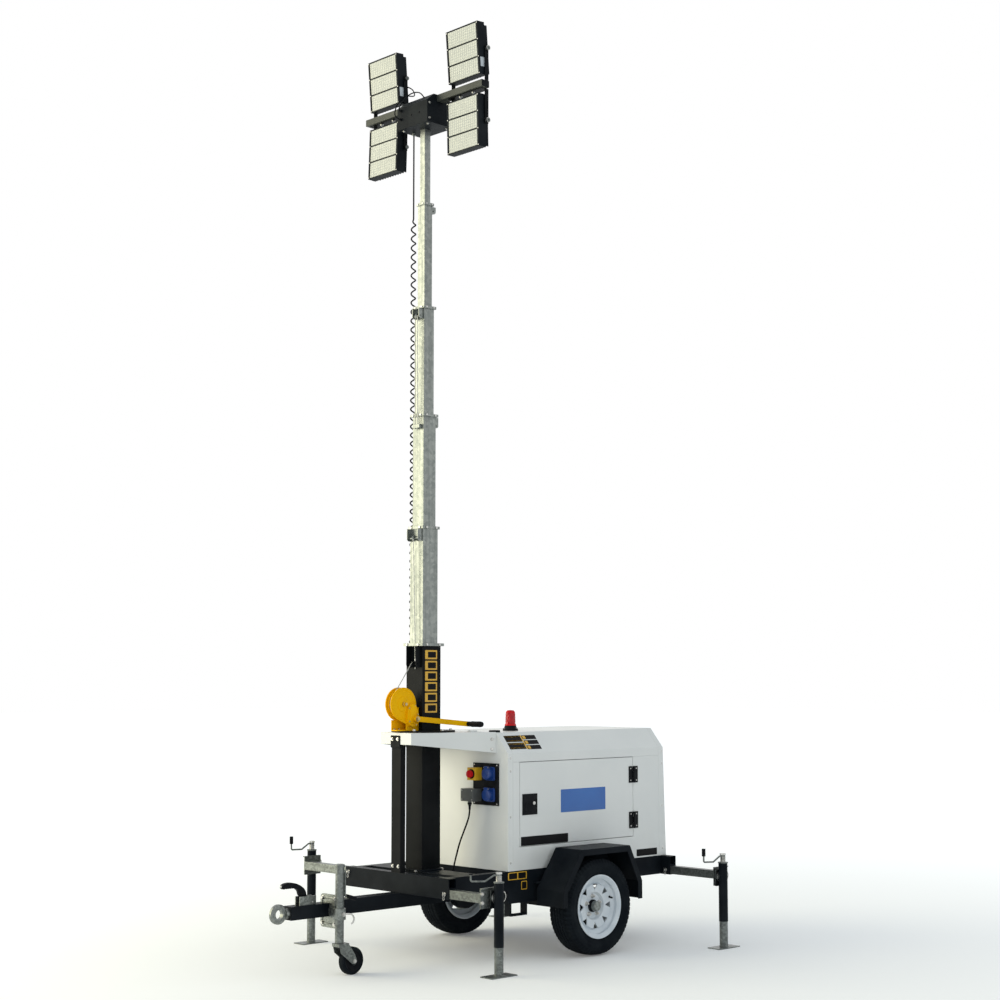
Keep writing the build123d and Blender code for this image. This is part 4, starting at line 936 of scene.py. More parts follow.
def ribbed_lens(corners=192):
    """Loops up the lens: the radius of each follows the dome's profile plus a cosine of RIBS times
    the angle, and three rings swell it a little."""
    rise = np.array([0.041, 0.043, 0.055, 0.0555, 0.0575, 0.058, 0.078, 0.0785, 0.0805, 0.081, 0.100,
                     0.104, 0.110, 0.116, 0.120, 0.1225, 0.1235])
    radius = np.array([0.0300, 0.0300, 0.0298, 0.0308, 0.0308, 0.0296, 0.0292, 0.0302, 0.0302, 0.0290,
                       0.0286, 0.0282, 0.0268, 0.0235, 0.0185, 0.0110, 0.0030])
    ribbed = np.where((rise > 0.043) & (rise < 0.104), 0.0005, 0.0)
    turn = np.linspace(0, 2 * np.pi, corners, endpoint=False)
    wide = radius[:, None] + ribbed[:, None] * np.cos(RIBS * turn)
    points = np.stack([BEACON[0] + wide * np.cos(turn), BEACON[1] + wide * np.sin(turn),
                       ROOF_Z + rise[:, None] + 0 * turn], axis=-1)
    return stack(points)


lens_red, lens_tree, lens_shader = new_material("lens_red")
lens_shader.inputs["Roughness"].default_value = 0.12
lens_shader.inputs["IOR"].default_value = 1.49
lens_shader.inputs["Transmission Weight"].default_value = 0.25
lens_shader.inputs["Specular IOR Level"].default_value = 0.35
lens_colour = mixed(lens_tree, noise_mask(lens_tree, 45), (0.68, 0.004, 0.014), (0.52, 0.003, 0.010))
lens_tree.links.new(lens_colour, lens_shader.inputs["Base Color"])
piece("beacon_lens", [ribbed_lens()], lens_red, "trailer", smooth=60)
foot_screws = [rivet((BEACON[0] + SCREW_CIRCLE * math.cos(a), BEACON[1] + SCREW_CIRCLE * math.sin(a),
                      ROOF_Z + 0.0155), (0.6 * math.cos(a), 0.6 * math.sin(a), 1), 0.004)
               for a in (0.8, 2.9, 5.0)]
piece("beacon_screws", foot_screws, bright_steel, "trailer")
print("beacon made")

# %% [markdown]
# The socket panel carries two blue sockets with sprung lids, an emergency stop on a yellow box and
# the grey plug whose lead hangs down to the drawbar.

# %% Socket panel
PANEL_X = CANOPY_FRONT - 0.010
LEAD_R = 0.005
SOCKET_Z = (1.049, 0.928)
SOCKET_Y = -0.282
STOP = (-0.174, 1.045, 0.050)
LID = [(0, 0.0340), (0.0045, 0.0340), (0.0085, 0.0315), (0.0105, 0.0240), (0.0115, 0.004)]
MUSHROOM = [(0.008, 0.013), (0.009, 0.021), (0.014, 0.0225), (0.020, 0.0215), (0.0237, 0.0160),
            (0.0246, 0.005)]


def on_panel(across_y, height, out=0.0):
    """Point out metres in front of the socket panel."""
    return np.array([PANEL_X - out, across_y, height])


lids, rims, springs = [], [], []
for height in SOCKET_Z:
    hinge = height + 0.036
    lids.append(turned(on_panel(SOCKET_Y, height, 0.0318), OUT, LID, 40))
    lids.append(plate(rounded(0.034, 0.014, 0.003), on_panel(SOCKET_Y, hinge, 0.030), *FACING_FRONT, 0.010,
                      0.002))
    rims.append(plate(rounded(0.078, 0.078, 0.010), on_panel(SOCKET_Y, height, -0.0002), *FACING_FRONT,
                      0.008, 0.002))
    springs.append(turned(on_panel(-0.262, hinge, 0.036), NEAR, [(0, 0.0035), (0.040, 0.0035)], 12))
piece("socket_lids", lids, blue_plastic, "trailer")
piece("socket_flanges", rims, blue_plastic, "trailer")
piece("lid_springs", springs, bright_steel, "trailer")
button = turned(on_panel(*STOP[:2], STOP[2] + 0.0005), OUT, MUSHROOM, 40)
piece("stop_button", [button], red_plastic, "trailer")
collar = turned(on_panel(*STOP[:2], STOP[2] - 0.0005), OUT, [(0, 0.0275), (0.003, 0.0275), (0.005, 0.0225)],
                36)
piece("stop_collar", [collar], black_plastic, "trailer")
panel_screws = [rivet(on_panel(y, z), OUT, 0.0045) for y in (-0.335, -0.146) for z in (0.877, 1.098)]
panel_screws += [rivet(on_panel(y, z, 0.0702), OUT, 0.0040) for y in (-0.198, -0.114)
                 for z in (0.898, 0.950)]
piece("panel_screws", panel_screws, bright_steel, "trailer")
print("socket panel made")

# %% [markdown]
# The panel's lead leaves its gland straight down, swings toward the middle of the trailer and goes
# into a second gland on the drawbar's top. Its line is one smooth curve with these control points.

# %% Panel lead
LEAD_ROUTE = (
    (-0.0625, -0.156, 0.868), (-0.0625, -0.156, 0.812), (-0.0665, -0.136, 0.758), (-0.0725, -0.110, 0.700),
    (-0.0795, -0.086, 0.640), (-0.0835, -0.068, 0.580), (-0.0855, -0.050, 0.522), (-0.0875, -0.035, 0.468),
    (-0.0885, -0.026, 0.432), (-0.0885, -0.024, 0.402),
)


def smooth_curve(name, points, radius=0.0):
    """A curve object of one spline that runs smoothly through the pull of its control points."""
    data = bpy.data.curves.new(name, "CURVE")
    data.dimensions = "3D"
    data.resolution_u = 24
    data.bevel_depth = radius
    data.bevel_resolution = 4
    data.use_fill_caps = True
    spline = data.splines.new("NURBS")
    spline.points.add(len(points) - 1)
    for control, place in zip(spline.points, points):
        control.co = (*place, 1)
    spline.order_u = 3
    spline.use_endpoint_u = True
    return placed(name, data)


panel_cable = smooth_curve("panel_cable", LEAD_ROUTE, LEAD_R)
panel_cable.data.materials.append(cord_rubber)
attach(panel_cable, "trailer")
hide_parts("panel_lead")
relief = turned(LEAD_ROUTE[0], DOWN, [(-0.004, 0.0095), (0.004, 0.0095), (0.006, 0.0080), (0.030, 0.0062)],
                20)
nut = bolt(np.array(LEAD_ROUTE[0]) + (0, 0, 0.012), DOWN, 0.026, washer=False)
gland = turned((*LEAD_ROUTE[-1][:2], SLEEVE_Z), UP, [(0, 0.0100), (0.008, 0.0100), (0.014, 0.0070)], 20)
lead_glands = piece("lead_glands", [relief, *nut, gland], black_plastic, "trailer")

# %% [markdown]
# The bridge is bolted to the canopy at its side flanges and to the post by a flange plate on its
# front. On top of it sit a rubber stop and a small bracket for the lowered mast.

# %% Bridge fittings
BRIDGE_FRONT = AXLE - 1.009
BRIDGE_HALF = 0.135
SLANT = np.array([CANOPY_FRONT - BRIDGE_FRONT, ROOF_HALF - BRIDGE_HALF])
SLANT = SLANT / np.linalg.norm(SLANT)


def on_bridge_side(sign, station, height):
    """Point on the bridge's slanted side, and the way that side faces."""
    at_y = BRIDGE_HALF + (station - BRIDGE_FRONT) * SLANT[1] / SLANT[0]
    return (station, sign * at_y, height), (-SLANT[1], sign * SLANT[0], 0)


side_bolts = [solid for side, sign in SIDES for height in (1.248, 1.190)
              for solid in bolt(*on_bridge_side(sign, AXLE - 0.546, height), 0.015)]
piece("bridge_side_bolts", side_bolts, bright_steel, "trailer")
flange = [plate(rounded(0.080, 0.068, 0.004), (BRIDGE_FRONT + 0.0002, 0, 1.238), *FACING_FRONT, 0.005),
          plate(rounded(0.078, 0.020, 0.001), (AXLE - 1.0047, 0, 1.2115), *FACING_FRONT, 0.0046)]
piece("post_flange", flange, mast_black, "trailer")
post_bolts = bolts([(x, y, z) for x, z in ((BRIDGE_FRONT - 0.0048, 1.252), (AXLE - 1.005, 0.536))
                    for y in (-0.024, 0.024)], OUT, 0.015)
piece("post_bolts", post_bolts, bright_steel, "trailer")
stop_pad = plate(rounded(0.060, 0.044, 0.010), (AXLE - 0.497, -0.282, ROOF_Z - 0.0003), *FACING_UP, 0.013,
                 0.003)
piece("roof_stop", [stop_pad], cord_rubber, "trailer")
tab = plate(rounded(0.050, 0.034, 0.005), (AXLE - 0.600, -0.205, BRIDGE_Z - 0.0003), *FACING_UP, 0.010,
            0.002)
piece("bridge_tab", [tab], white_coat, "trailer")
print("bridge fittings made")

# %% [markdown]
# The turntable is bolted round its rim, and every collar on the mast has bolts that set its
# sliding pads. The bolts ride with the section that carries the collar.

# %% Mast bolts
TABLE_TOP = BRIDGE_Z + 0.010
TABLE_CIRCLE = 0.163
SUNK = 0.0003
FACES = ((1, 0), (-1, 0), (0, 1), (0, -1))
COLLARS = (
    ("mast_lower", BASE_TOP, 0.084, 0.020),
    ("mast_first", COLLAR_Z[0], 0.0655, 0.015),
    ("mast_second", COLLAR_Z[1], 0.0585, 0.014),
    ("mast_third", COLLAR_Z[2], 0.0485, 0.012),
    ("mast_fourth", COLLAR_Z[3], 0.038, 0.011),
)
for body, top, half, size in COLLARS:
    heads = []
    for nx, ny in FACES:
        for shift in (-0.58 * half, 0.58 * half):
            at = (MAST + nx * (half - SUNK) - ny * shift, ny * (half - SUNK) + nx * shift, top - 0.008)
            heads += bolt(at, (nx, ny, 0), min(size, 0.0145), washer=False)
    piece("collar_bolts_" + body, heads, bright_steel, body)
table_spots = [(MAST + TABLE_CIRCLE * math.cos(turn), TABLE_CIRCLE * math.sin(turn), TABLE_TOP - 0.0002)
               for turn in np.radians((30, 90, 150, 210, 270, 330))]
piece("turntable_bolts", bolts(table_spots, UP, 0.018), bright_steel, "mast_lower")
foot_spots = [(MAST + nx * 0.100, shift, DECK_Z - 0.0002) for nx in (1, -1) for shift in (-0.052, 0.052)]
piece("foot_bolts", bolts(foot_spots, UP, 0.017), bright_steel, "trailer")
latch_at = np.array([MAST + BASE_HALF, -0.030, 1.628])
latch_box = plate(rounded(0.034, 0.072, 0.005), latch_at - (0.0003, 0, 0), (0, 1, 0), UP, 0.010, 0.002)
piece("base_latch", [latch_box, *bolt(latch_at + (0.0095, 0, 0), (1, 0, 0), 0.016)], mast_black,
      "mast_lower")
print("mast bolts made")

# %% [markdown]
# A dark column with six yellow windows stands on the near face of the mast's base. Each layer lies
# half a millimetre over the one below, so none of them flickers into another.

# %% Blank label column on the mast base
COLUMN_MID = MAST - 0.004
COLUMN_Z = 1.580
ROW_STEP = 0.0615
column = plate(rounded(0.112, 0.376, 0.003), (COLUMN_MID, -BASE_HALF + 0.0002, COLUMN_Z), *FACING_NEAR,
               0.0010, 0.0003)
piece("label_column", [column], plate_black, "mast_lower")
for name, outline, shift, rise, material in (
        ("windows", rounded(0.092, 0.052, 0.003), 0.0, 0.0007, plate_yellow),
        ("boxes", rounded(0.062, 0.034, 0.002), 0.006, 0.0012, plate_black)):
    rows = [plate(outline, (COLUMN_MID + shift, -BASE_HALF - rise, COLUMN_Z + ROW_STEP * (row - 2.5)),
                  *FACING_NEAR, 0.0006, 0.0002) for row in range(6)]
    piece("label_column_" + name, rows, material, "mast_lower")
print("label column made")

# %% [markdown]
# The winch pulls on a wire rope. It leaves the top of the drum, goes over the sheave on the base
# and up to the sheave under the first collar; a pair of ropes does the same between the second
# and third sections.

# %% Ropes
ROPE_R = 0.0028
DRUM = np.array([AXLE - 0.984, -0.013, 1.450])
SHEAVE = np.array([MAST - BASE_HALF - 0.019, -0.013, 1.679])
WIND_R = 0.074
GROOVE_R = 0.0145


def straight(start, end, count):
    """Even points on a straight line."""
    return np.asarray(start, float) + np.linspace(0, 1, count)[:, None] * (np.asarray(end, float) - start)


def twisted(path, radius, strands=6, lay=0.042):
    """A laid rope along path, which runs mostly upward: each strand is a tube whose centre turns once
    in lay metres round the line, at half the rope's radius."""
    path = np.asarray(path, float)
    run = np.concatenate([[0.0], np.cumsum(np.linalg.norm(np.diff(path, axis=0), axis=1))])
    along = np.gradient(path, axis=0)
    along /= np.linalg.norm(along, axis=1)[:, None]
    first = np.cross((0.0, 1.0, 0.0), along)
    first /= np.linalg.norm(first, axis=1)[:, None]
    second = np.cross(along, first)
    solids = []
    for strand in range(strands):
        turn = (2 * np.pi * (run / lay + strand / strands))[:, None]
        centre = path + 0.60 * radius * (np.cos(turn) * first + np.sin(turn) * second)
        solids.append(tube(centre, 0.42 * radius, 5, (0, 1, 0)))
    return solids


lead_off = np.array([-0.790, 0.0, 0.613])
drum_top = DRUM + WIND_R * lead_off
sheave_side = SHEAVE + GROOVE_R * lead_off
over = np.radians(np.linspace(142, 0, 9))
over_sheave = SHEAVE + GROOVE_R * np.stack([np.cos(over), 0 * over, np.sin(over)], axis=1)
first_run = np.concatenate([straight(drum_top, sheave_side, 60)[:-1], over_sheave,
                            straight(over_sheave[-1], over_sheave[-1] - (0, 0, 0.020), 5)[1:]])
piece("rope_drum_to_sheave", twisted(first_run, ROPE_R), rope_steel, "mast_lower", smooth=60)

LOW_END = (MAST - 0.0745, -0.013, 1.650)
HIGH_END = (MAST - 0.0855, -0.004, COLLAR_Z[0] - 0.070)
main_rope = piece("rope_first", twisted(straight(LOW_END, HIGH_END, 260), ROPE_R), rope_steel, None,
                  smooth=60)
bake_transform(main_rope)
ferrule = turned((MAST - 0.0745, -0.013, 1.676), UP,
                 [(0, 0.0030), (0.003, 0.0052), (0.033, 0.0052), (0.036, 0.0030)], 16)
piece("rope_ferrule", [ferrule], bright_steel, "mast_lower")

PAIR_Y = (-0.012, 0.010)
PAIR_TOP = COLLAR_Z[2] - 0.061
pair = [solid for y in PAIR_Y
        for solid in twisted(straight((MAST - 0.0640, y, 3.074), (MAST - 0.0668, 0.9 * y, PAIR_TOP), 240),
                             ROPE_R)]
pair_rope = piece("rope_third", pair, rope_steel, None, smooth=60)
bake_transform(pair_rope)
anchor = [plate(rounded(0.062, 0.024, 0.004), (MAST - 0.0473, -0.001, 3.071), *FACING_FRONT, 0.021, 0.002)]
anchor += bolts([(MAST - 0.0640, y, 3.0605) for y in PAIR_Y], DOWN, 0.012, False)
piece("rope_anchor", anchor, mast_zinc, "mast_second")

turns = np.linspace(DRUM[1] - 0.0107, DRUM[1] + 0.0107, 41)
windings = np.stack([turns - DRUM[1], WIND_R - 0.0008 - ROPE_R
                     + ROPE_R * np.abs(np.cos(np.pi * (turns - DRUM[1]) / (2 * ROPE_R)))], axis=1)
piece("rope_windings", [turned(DRUM, (0, 1, 0), windings, 72)], rope_steel, "drum", smooth=60)
print("ropes made")

# %% [markdown]
# A curly cord carries the power up the mast. Its helix widens out of the bracket on the base,
# climbs with turns that the cord's own weight draws closer lower down, and ends in a straight
# tail up to the head. It is made in the same five lengths as its solids. The turns follow a line
# that is read from a smooth curve.

# %% Curly cord
COIL_Y = 0.104
COIL_MID_R = 0.0130
WIRE_R = 0.0045
CURL_LOW, CURL_TOP = 1.700, 4.346
PITCH_LOW, PITCH_TOP = 0.046, 0.057
CORD_Z = (1.700, 2.375, 3.050, 3.725, 4.400, HEAD_Z - 0.012)
PER_TURN = 18


def line_of(name, points):
    """Points of a smooth curve through these control points, read from the curve itself."""
    curve = smooth_curve(name, points)
    mesh = bpy.data.meshes.new_from_object(curve)
    spots = np.empty(len(mesh.vertices) * 3)
    mesh.vertices.foreach_get("co", spots)
    bpy.data.meshes.remove(mesh)
    data = curve.data
    bpy.data.objects.remove(curve)
    bpy.data.curves.remove(data)
    return spots.reshape(-1, 3)


def curls(line):
    """Centre line of the wire along line, which climbs. The turns so far at height z are the
    integral of 1 / pitch, with the pitch even between its low and top values. The radius
    eases in from the bracket and out into the straight tail by a smoothstep over 40 mm."""
    grow = (PITCH_TOP - PITCH_LOW) / (CURL_TOP - CURL_LOW)

    def turns_at(height):
        """Turns so far at that height: the log of pitch there over lowest pitch, divided by grow."""
        return np.log((PITCH_LOW + grow * (height - CURL_LOW)) / PITCH_LOW) / grow

    first, last = turns_at(line[0, 2]), turns_at(min(line[-1, 2], CURL_TOP))
    step = np.linspace(first, last, max(int((last - first) * PER_TURN), 2))
    height = CURL_LOW + PITCH_LOW * (np.exp(grow * step) - 1) / grow
    if line[-1, 2] > CURL_TOP:
        height = np.concatenate([height, np.linspace(CURL_TOP, line[-1, 2], 12)[1:]])
        step = np.concatenate([step, np.full(11, last)])
    middle = np.stack([np.interp(height, line[:, 2], line[:, k]) for k in range(3)], axis=1)
    ease = np.clip(np.minimum(height - CURL_LOW, CURL_TOP - height) / 0.040, 0, 1)
    wide = COIL_MID_R * ease * ease * (3 - 2 * ease)
    turn = 2 * np.pi * step
    return middle + wide[:, None] * np.stack([np.cos(turn), np.sin(turn), 0 * turn], axis=1)


def length_of(path):
    """Length of a path as the sum of its steps."""
    return float(np.linalg.norm(np.diff(path, axis=0), axis=1).sum())


for number, (low, high) in enumerate(zip(CORD_Z, CORD_Z[1:])):
    route = [(MAST, COIL_Y, low + share * (high - low)) for share in (0.0, 0.25, 0.5, 0.75, 1.0)]
    wire = curls(line_of("route", route)) if number < 4 else line_of("route", route)
    name = "curly_cord_%d" % (number + 1)
    length = piece(name, [tube(wire, WIRE_R, 10, (0.0, 1.0, 0.02))], cord_rubber, None, smooth=70)
    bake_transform(length)
    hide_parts("mast_cord_%d" % (number + 1))
cord_gland = turned((MAST, COIL_Y, 1.6995), UP,
                    [(0, 0.0105), (0.006, 0.0105), (0.0065, 0.0085), (0.022, 0.0062)], 20)
piece("curly_cord_gland", [cord_gland], black_plastic, "mast_lower")
print("curly cord made")

# %% [markdown]
# The head is a folded box: bolts with washers hold its sides and its foot, and two plugs close the
# holes that aren't used.

# %% Head fittings
HEAD_FRONT = MAST - 0.105
HEAD_SIDE = 0.136
head_bolts = []
for side, sign in SIDES:
    for height in (HEAD_Z + 0.117, HEAD_Z + 0.025):
        for station in (HEAD_FRONT + 0.017, MAST + 0.088):
            head_bolts += bolt((station, sign * (HEAD_SIDE - 0.0002), height), (0, sign, 0), 0.012)
    for station in (HEAD_FRONT + 0.030, MAST + 0.075):
        head_bolts += bolt((station, sign * 0.108, HEAD_Z + 0.0002), DOWN, 0.012)
piece("head_bolts", head_bolts, bright_steel, "mast_head")
PLUG = [(0, 0.0065), (0.0018, 0.0065), (0.0028, 0.0050)]
plugs = [turned((HEAD_FRONT + 0.0003, y, HEAD_Z + 0.070), OUT, PLUG, 18) for y in (-0.062, 0.010)]
piece("head_plugs", plugs, black_plastic, "mast_head")

# %% [markdown]
# One lead leaves the upper gland, loops over the top of the head and goes in again. It rides on the
# head. The other climbs from the lower gland to the back of a lamp.

# %% Lamp leads
LEAD_GLANDS = ((HEAD_FRONT, 0.100, HEAD_Z + 0.115), (HEAD_FRONT, 0.100, HEAD_Z + 0.062))
GLAND = [(-0.0003, 0.0085), (0.006, 0.0085), (0.0065, 0.0068)]
gland_solids = [turned(place, OUT, [*GLAND, (0.016, 0.0050)], 18) for place in LEAD_GLANDS]
gland_solids.append(turned((MAST - 0.030, -0.020, HEAD_Z + 0.1778), UP, [*GLAND, (0.014, 0.0050)], 18))
head_glands = piece("head_glands", gland_solids, black_plastic, "mast_head")
HEAD_LOOP = (
    (HEAD_FRONT - 0.012, 0.100, HEAD_Z + 0.115), (HEAD_FRONT - 0.025, 0.096, HEAD_Z + 0.118),
    (HEAD_FRONT - 0.030, 0.076, HEAD_Z + 0.138), (HEAD_FRONT - 0.025, 0.046, HEAD_Z + 0.168),
    (HEAD_FRONT - 0.008, 0.020, HEAD_Z + 0.196), (HEAD_FRONT + 0.020, -0.004, HEAD_Z + 0.212),
    (MAST - 0.048, -0.016, HEAD_Z + 0.213), (MAST - 0.030, -0.020, HEAD_Z + 0.188),
)
LAMP_LOOP = (
    (HEAD_FRONT - 0.012, 0.100, HEAD_Z + 0.062), (HEAD_FRONT - 0.030, 0.106, HEAD_Z + 0.066),
    (HEAD_FRONT - 0.036, 0.120, HEAD_Z + 0.090), (HEAD_FRONT - 0.028, 0.120, HEAD_Z + 0.132),
    (HEAD_FRONT - 0.013, 0.102, HEAD_Z + 0.178), (HEAD_FRONT + 0.016, 0.084, HEAD_Z + 0.212),
    (MAST - 0.040, 0.080, HEAD_Z + 0.216), (MAST + 0.006, 0.106, HEAD_Z + 0.236),
    (MAST + 0.052, 0.160, HEAD_Z + 0.276), (MAST + 0.092, 0.220, HEAD_Z + 0.322),
    (MAST + 0.106, 0.268, HEAD_Z + 0.352), (MAST + 0.086, 0.298, HEAD_Z + 0.366),
    (MAST + 0.050, 0.304, HEAD_Z + 0.369),
)
CABLE_R = 0.0035
head_loop = smooth_curve("head_loop", HEAD_LOOP, CABLE_R)
head_loop.data.materials.append(cord_rubber)
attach(head_loop, "mast_head")
length_of(line_of("route", HEAD_LOOP))
lamp_line = line_of("route", LAMP_LOOP)
lamp_loop = piece("lamp_loop", [tube(lamp_line, CABLE_R, 12, UP)], cord_rubber, None, smooth=70)
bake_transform(lamp_loop)
print("head made")

# %% [markdown]
# Each lamp has three modules behind moulded lenses. A lens is a sheet of small domes, one over
# each LED; the height of a dome is the root of the product of two sines. The lens sits in its
# recess in the tilted frame of its lamp, so the sheet is worked out flat and then turned with the lamp.

# %% Lamp lenses
LENS_W, LENS_H, LENS_PITCH = 0.242, 0.094, 0.102
LENS_CELLS = (14, 6)
PER_CELL = 6
LAMPS = (("upper_left", -1, 1, 4.5), ("upper_right", 1, 1, 4.5), ("lower_left", -1, -1, 1.5),
         ("lower_right", 1, -1, -2.0))
PIVOT_RISE = {1: 0.202, -1: 0.188}


def lamp_frame(sign, up, tilt):
    """Pivot of a lamp and its three directions: across, up along the glass, and forward."""
    bar_face = BAR_TOP if up > 0 else BAR_TOP - BAR_H
    pivot = np.array([MAST + 0.030, sign * LAMP_Y, bar_face + up * PIVOT_RISE[up]])
    forward = np.array([-math.cos(math.radians(tilt)), 0, -math.sin(math.radians(tilt))])
    right = np.array([0.0, -1.0, 0.0])
    return pivot, right, np.cross(forward, right), forward


def dome_heights():
    """Height of the domes from 0 to 1: |sin| across the cells times |sin| up them, power 0.5."""
    across_steps = np.linspace(0, 1, LENS_CELLS[0] * PER_CELL + 1)
    up_steps = np.linspace(0, 1, LENS_CELLS[1] * PER_CELL + 1)[:, None]
    product = np.sin(np.pi * LENS_CELLS[0] * across_steps) * np.sin(np.pi * LENS_CELLS[1] * up_steps)
    return across_steps, up_steps, np.sqrt(np.abs(product))


def domed_sheet(centre, right, up, forward):
    """One lens: rows of front points, each closed behind by the same row laid back. The front
    stands 0.8 mm proud, plus 2.2 mm times the height of the dome."""
    across_steps, up_steps, domes = dome_heights()
    height = 0.0008 + 0.0022 * domes
    flat = ((across_steps - 0.5) * LENS_W)[None, :, None] * right
    flat = flat + ((up_steps - 0.5) * LENS_H)[..., None] * up
    front = centre + flat + height[..., None] * forward
    back = centre + flat - 0.0004 * forward
    return stack(np.concatenate([front, back[:, ::-1]], axis=1))


for name, sign, up_sign, tilt in LAMPS:
    pivot, right, up, forward = lamp_frame(sign, up_sign, tilt)
    body = "lamp_%s_body" % name
    sheets = [domed_sheet(pivot + 0.0545 * forward + step * LENS_PITCH * up, right, up, forward)
              for step in (-1, 0, 1)]
    lens = piece("lens_" + name, sheets, lens_white, body, smooth=70)
    domes = dome_heights()[2]
    relief = np.tile(np.concatenate([domes, np.zeros_like(domes)], axis=1).ravel(), 3)
    lens.data.attributes.new("relief", "FLOAT", "POINT").data.foreach_set("value", relief)
    screws = [rivet(pivot + 0.0578 * forward + a * 0.129 * right + b * up, forward, 0.0038)
              for a in (-1, 1) for b in (-0.148, -0.051, 0.051, 0.148)]
    piece("lens_screws_" + name, screws, bright_steel, body)
    knob_at = pivot - (0, 0.1535, 0)
    knob = [plate(regular(0.0125, 8, 0.2), knob_at, *across(NEAR), 0.0100, 0.0025)]
    knob += bolt(knob_at - (0, 0.0098, 0), NEAR, 0.010, washer=False)
    piece("knob_" + name, knob, arm_zinc, body)
    if up_sign > 0:
        label = plate(rounded(0.036, 0.056, 0.002), pivot + 0.030 * forward - 0.082 * up + (0, -0.1349, 0),
                      -forward, up, 0.0008, 0.0003)
        piece("label_" + name, [label], plate_white, body)
print("lenses made")

# %% [markdown]
# Two bolts with washers hold each yoke on its crossbar, from above for the upper pair of lamps and
# from below for the lower pair.

# %% Yoke bolts
yoke_bolts = []
for name, sign, up_sign, tilt in LAMPS:
    face = BAR_TOP + 0.0038 if up_sign > 0 else BAR_TOP - BAR_H - 0.0038
    for shift in (-0.055, 0.055):
        yoke_bolts += bolt((MAST + 0.006, sign * LAMP_Y + shift, face), (0, 0, up_sign), 0.017)
piece("yoke_bolts", yoke_bolts, bright_steel, "mast_head")
print("yoke bolts made")

# %% [markdown]
# The winch shows its shaft nut, the bolts of its gear cover and the nut that holds the crank.
# A pressed ring stiffens the near cheek, as on any stamped disc of that size.

# %% Winch fittings
WINCH = np.array([AXLE - 0.984, -0.038, 1.450])
GEAR = np.array([AXLE - 0.920, -0.054, 1.366])
COVER_SPOTS = ((0.031, 0.026), (-0.032, -0.014), (0.018, -0.034), (-0.034, 0.062), (0.012, 0.076))
winch_nuts = bolt(WINCH + (0, 0.0002, 0), NEAR, 0.028)
winch_nuts += bolt(WINCH + (0, -0.0195, 0), NEAR, 0.020, washer=False)
winch_nuts += bolts([GEAR + (x, 0.0002, z) for x, z in COVER_SPOTS], NEAR, 0.009, washer=False)
winch_nuts += bolt((GEAR[0], -0.0888, GEAR[2]), NEAR, 0.022)
winch_nuts += bolts([(AXLE - x, 0.0, TABLE_TOP + 0.0062) for x in (1.020, 0.985)], UP, 0.013)
piece("winch_bolts", winch_nuts, brass, "mast_lower")
RING = [(0, 0.0900), (0.0030, 0.0880), (0.0032, 0.0820), (0.0004, 0.0790)]
DISH = [(0, 0.0440), (0.0022, 0.0430), (0.0040, 0.0360), (0.0042, 0.0300)]
pressings = [turned(WINCH + (0, 0.0002, 0), NEAR, outline, count)
             for outline, count in ((RING, 64), (DISH, 48))]
pressings.append(plate(rounded(0.044, 0.112, 0.020), GEAR + (-0.006, 0.0002, 0.028), *FACING_NEAR, 0.0060,
                       0.0030))
piece("winch_pressings", pressings, yellow_coat, "mast_lower")
grip = turned((AXLE - 0.525, -0.118, 1.330), NEAR,
              [(0, 0.0155), (0.004, 0.0175), (0.040, 0.0165), (0.070, 0.0175), (0.084, 0.0160),
               (0.0868, 0.0120)], 28)
piece("winch_grip", [grip], black_plastic, "crank")
print("winch made")

# %% [markdown]
# Spring clips hold the sliding arms. Each clip is a pin through the sleeve with a bent wire that
# grips it, one at each sleeve that carries an arm.

# %% Sleeve clips
PIN = [(-0.0003, 0.0095), (0.003, 0.0095), (0.0032, 0.0060), (0.016, 0.0060), (0.0175, 0.0045)]
LEG = [(-0.008, -0.012), (-0.0074, -0.002), (-0.0078, 0.008), (-0.004, 0.018), (-0.007, 0.026)]
HAIRPIN = [*LEG, (0.0, 0.0325), *[(-sideways, fall) for sideways, fall in LEG[::-1]]]


def spring_clip(at, axis):
    """Solids of a pin with its washer, standing on a face, and a wire that hangs from it: two legs
    that spread round the pin and meet in an eye below."""
    at, axis, down = np.asarray(at, float), np.asarray(axis, float), np.array(DOWN)
    side = np.cross(axis, down)
    wire = [at + 0.0105 * axis + sideways * side + fall * down for sideways, fall in HAIRPIN]
    return [turned(at, axis, PIN, 18), tube(flowing(wire, 70), 0.0013, 8, axis)]


clips = []
for corner in LEVELS:
    sign, station, at_y, arm_z = jack_place(corner)
    front = corner.startswith("front")
    face = (AXLE - 1.005 if front else AXLE + 0.800, sign * (0.418 if front else 0.462), arm_z)
    clips += spring_clip(face, OUT)
piece("sleeve_clips", clips, bright_steel, "trailer")
print("sleeve clips made")

# %% [markdown]
# Each jack swivels on a boss and is locked by a sprung pin with a wire handle. Its screw shows under
# the nut of the crank, two bolts hold the end plate of the arm, and a weld joins the leg to its pad.

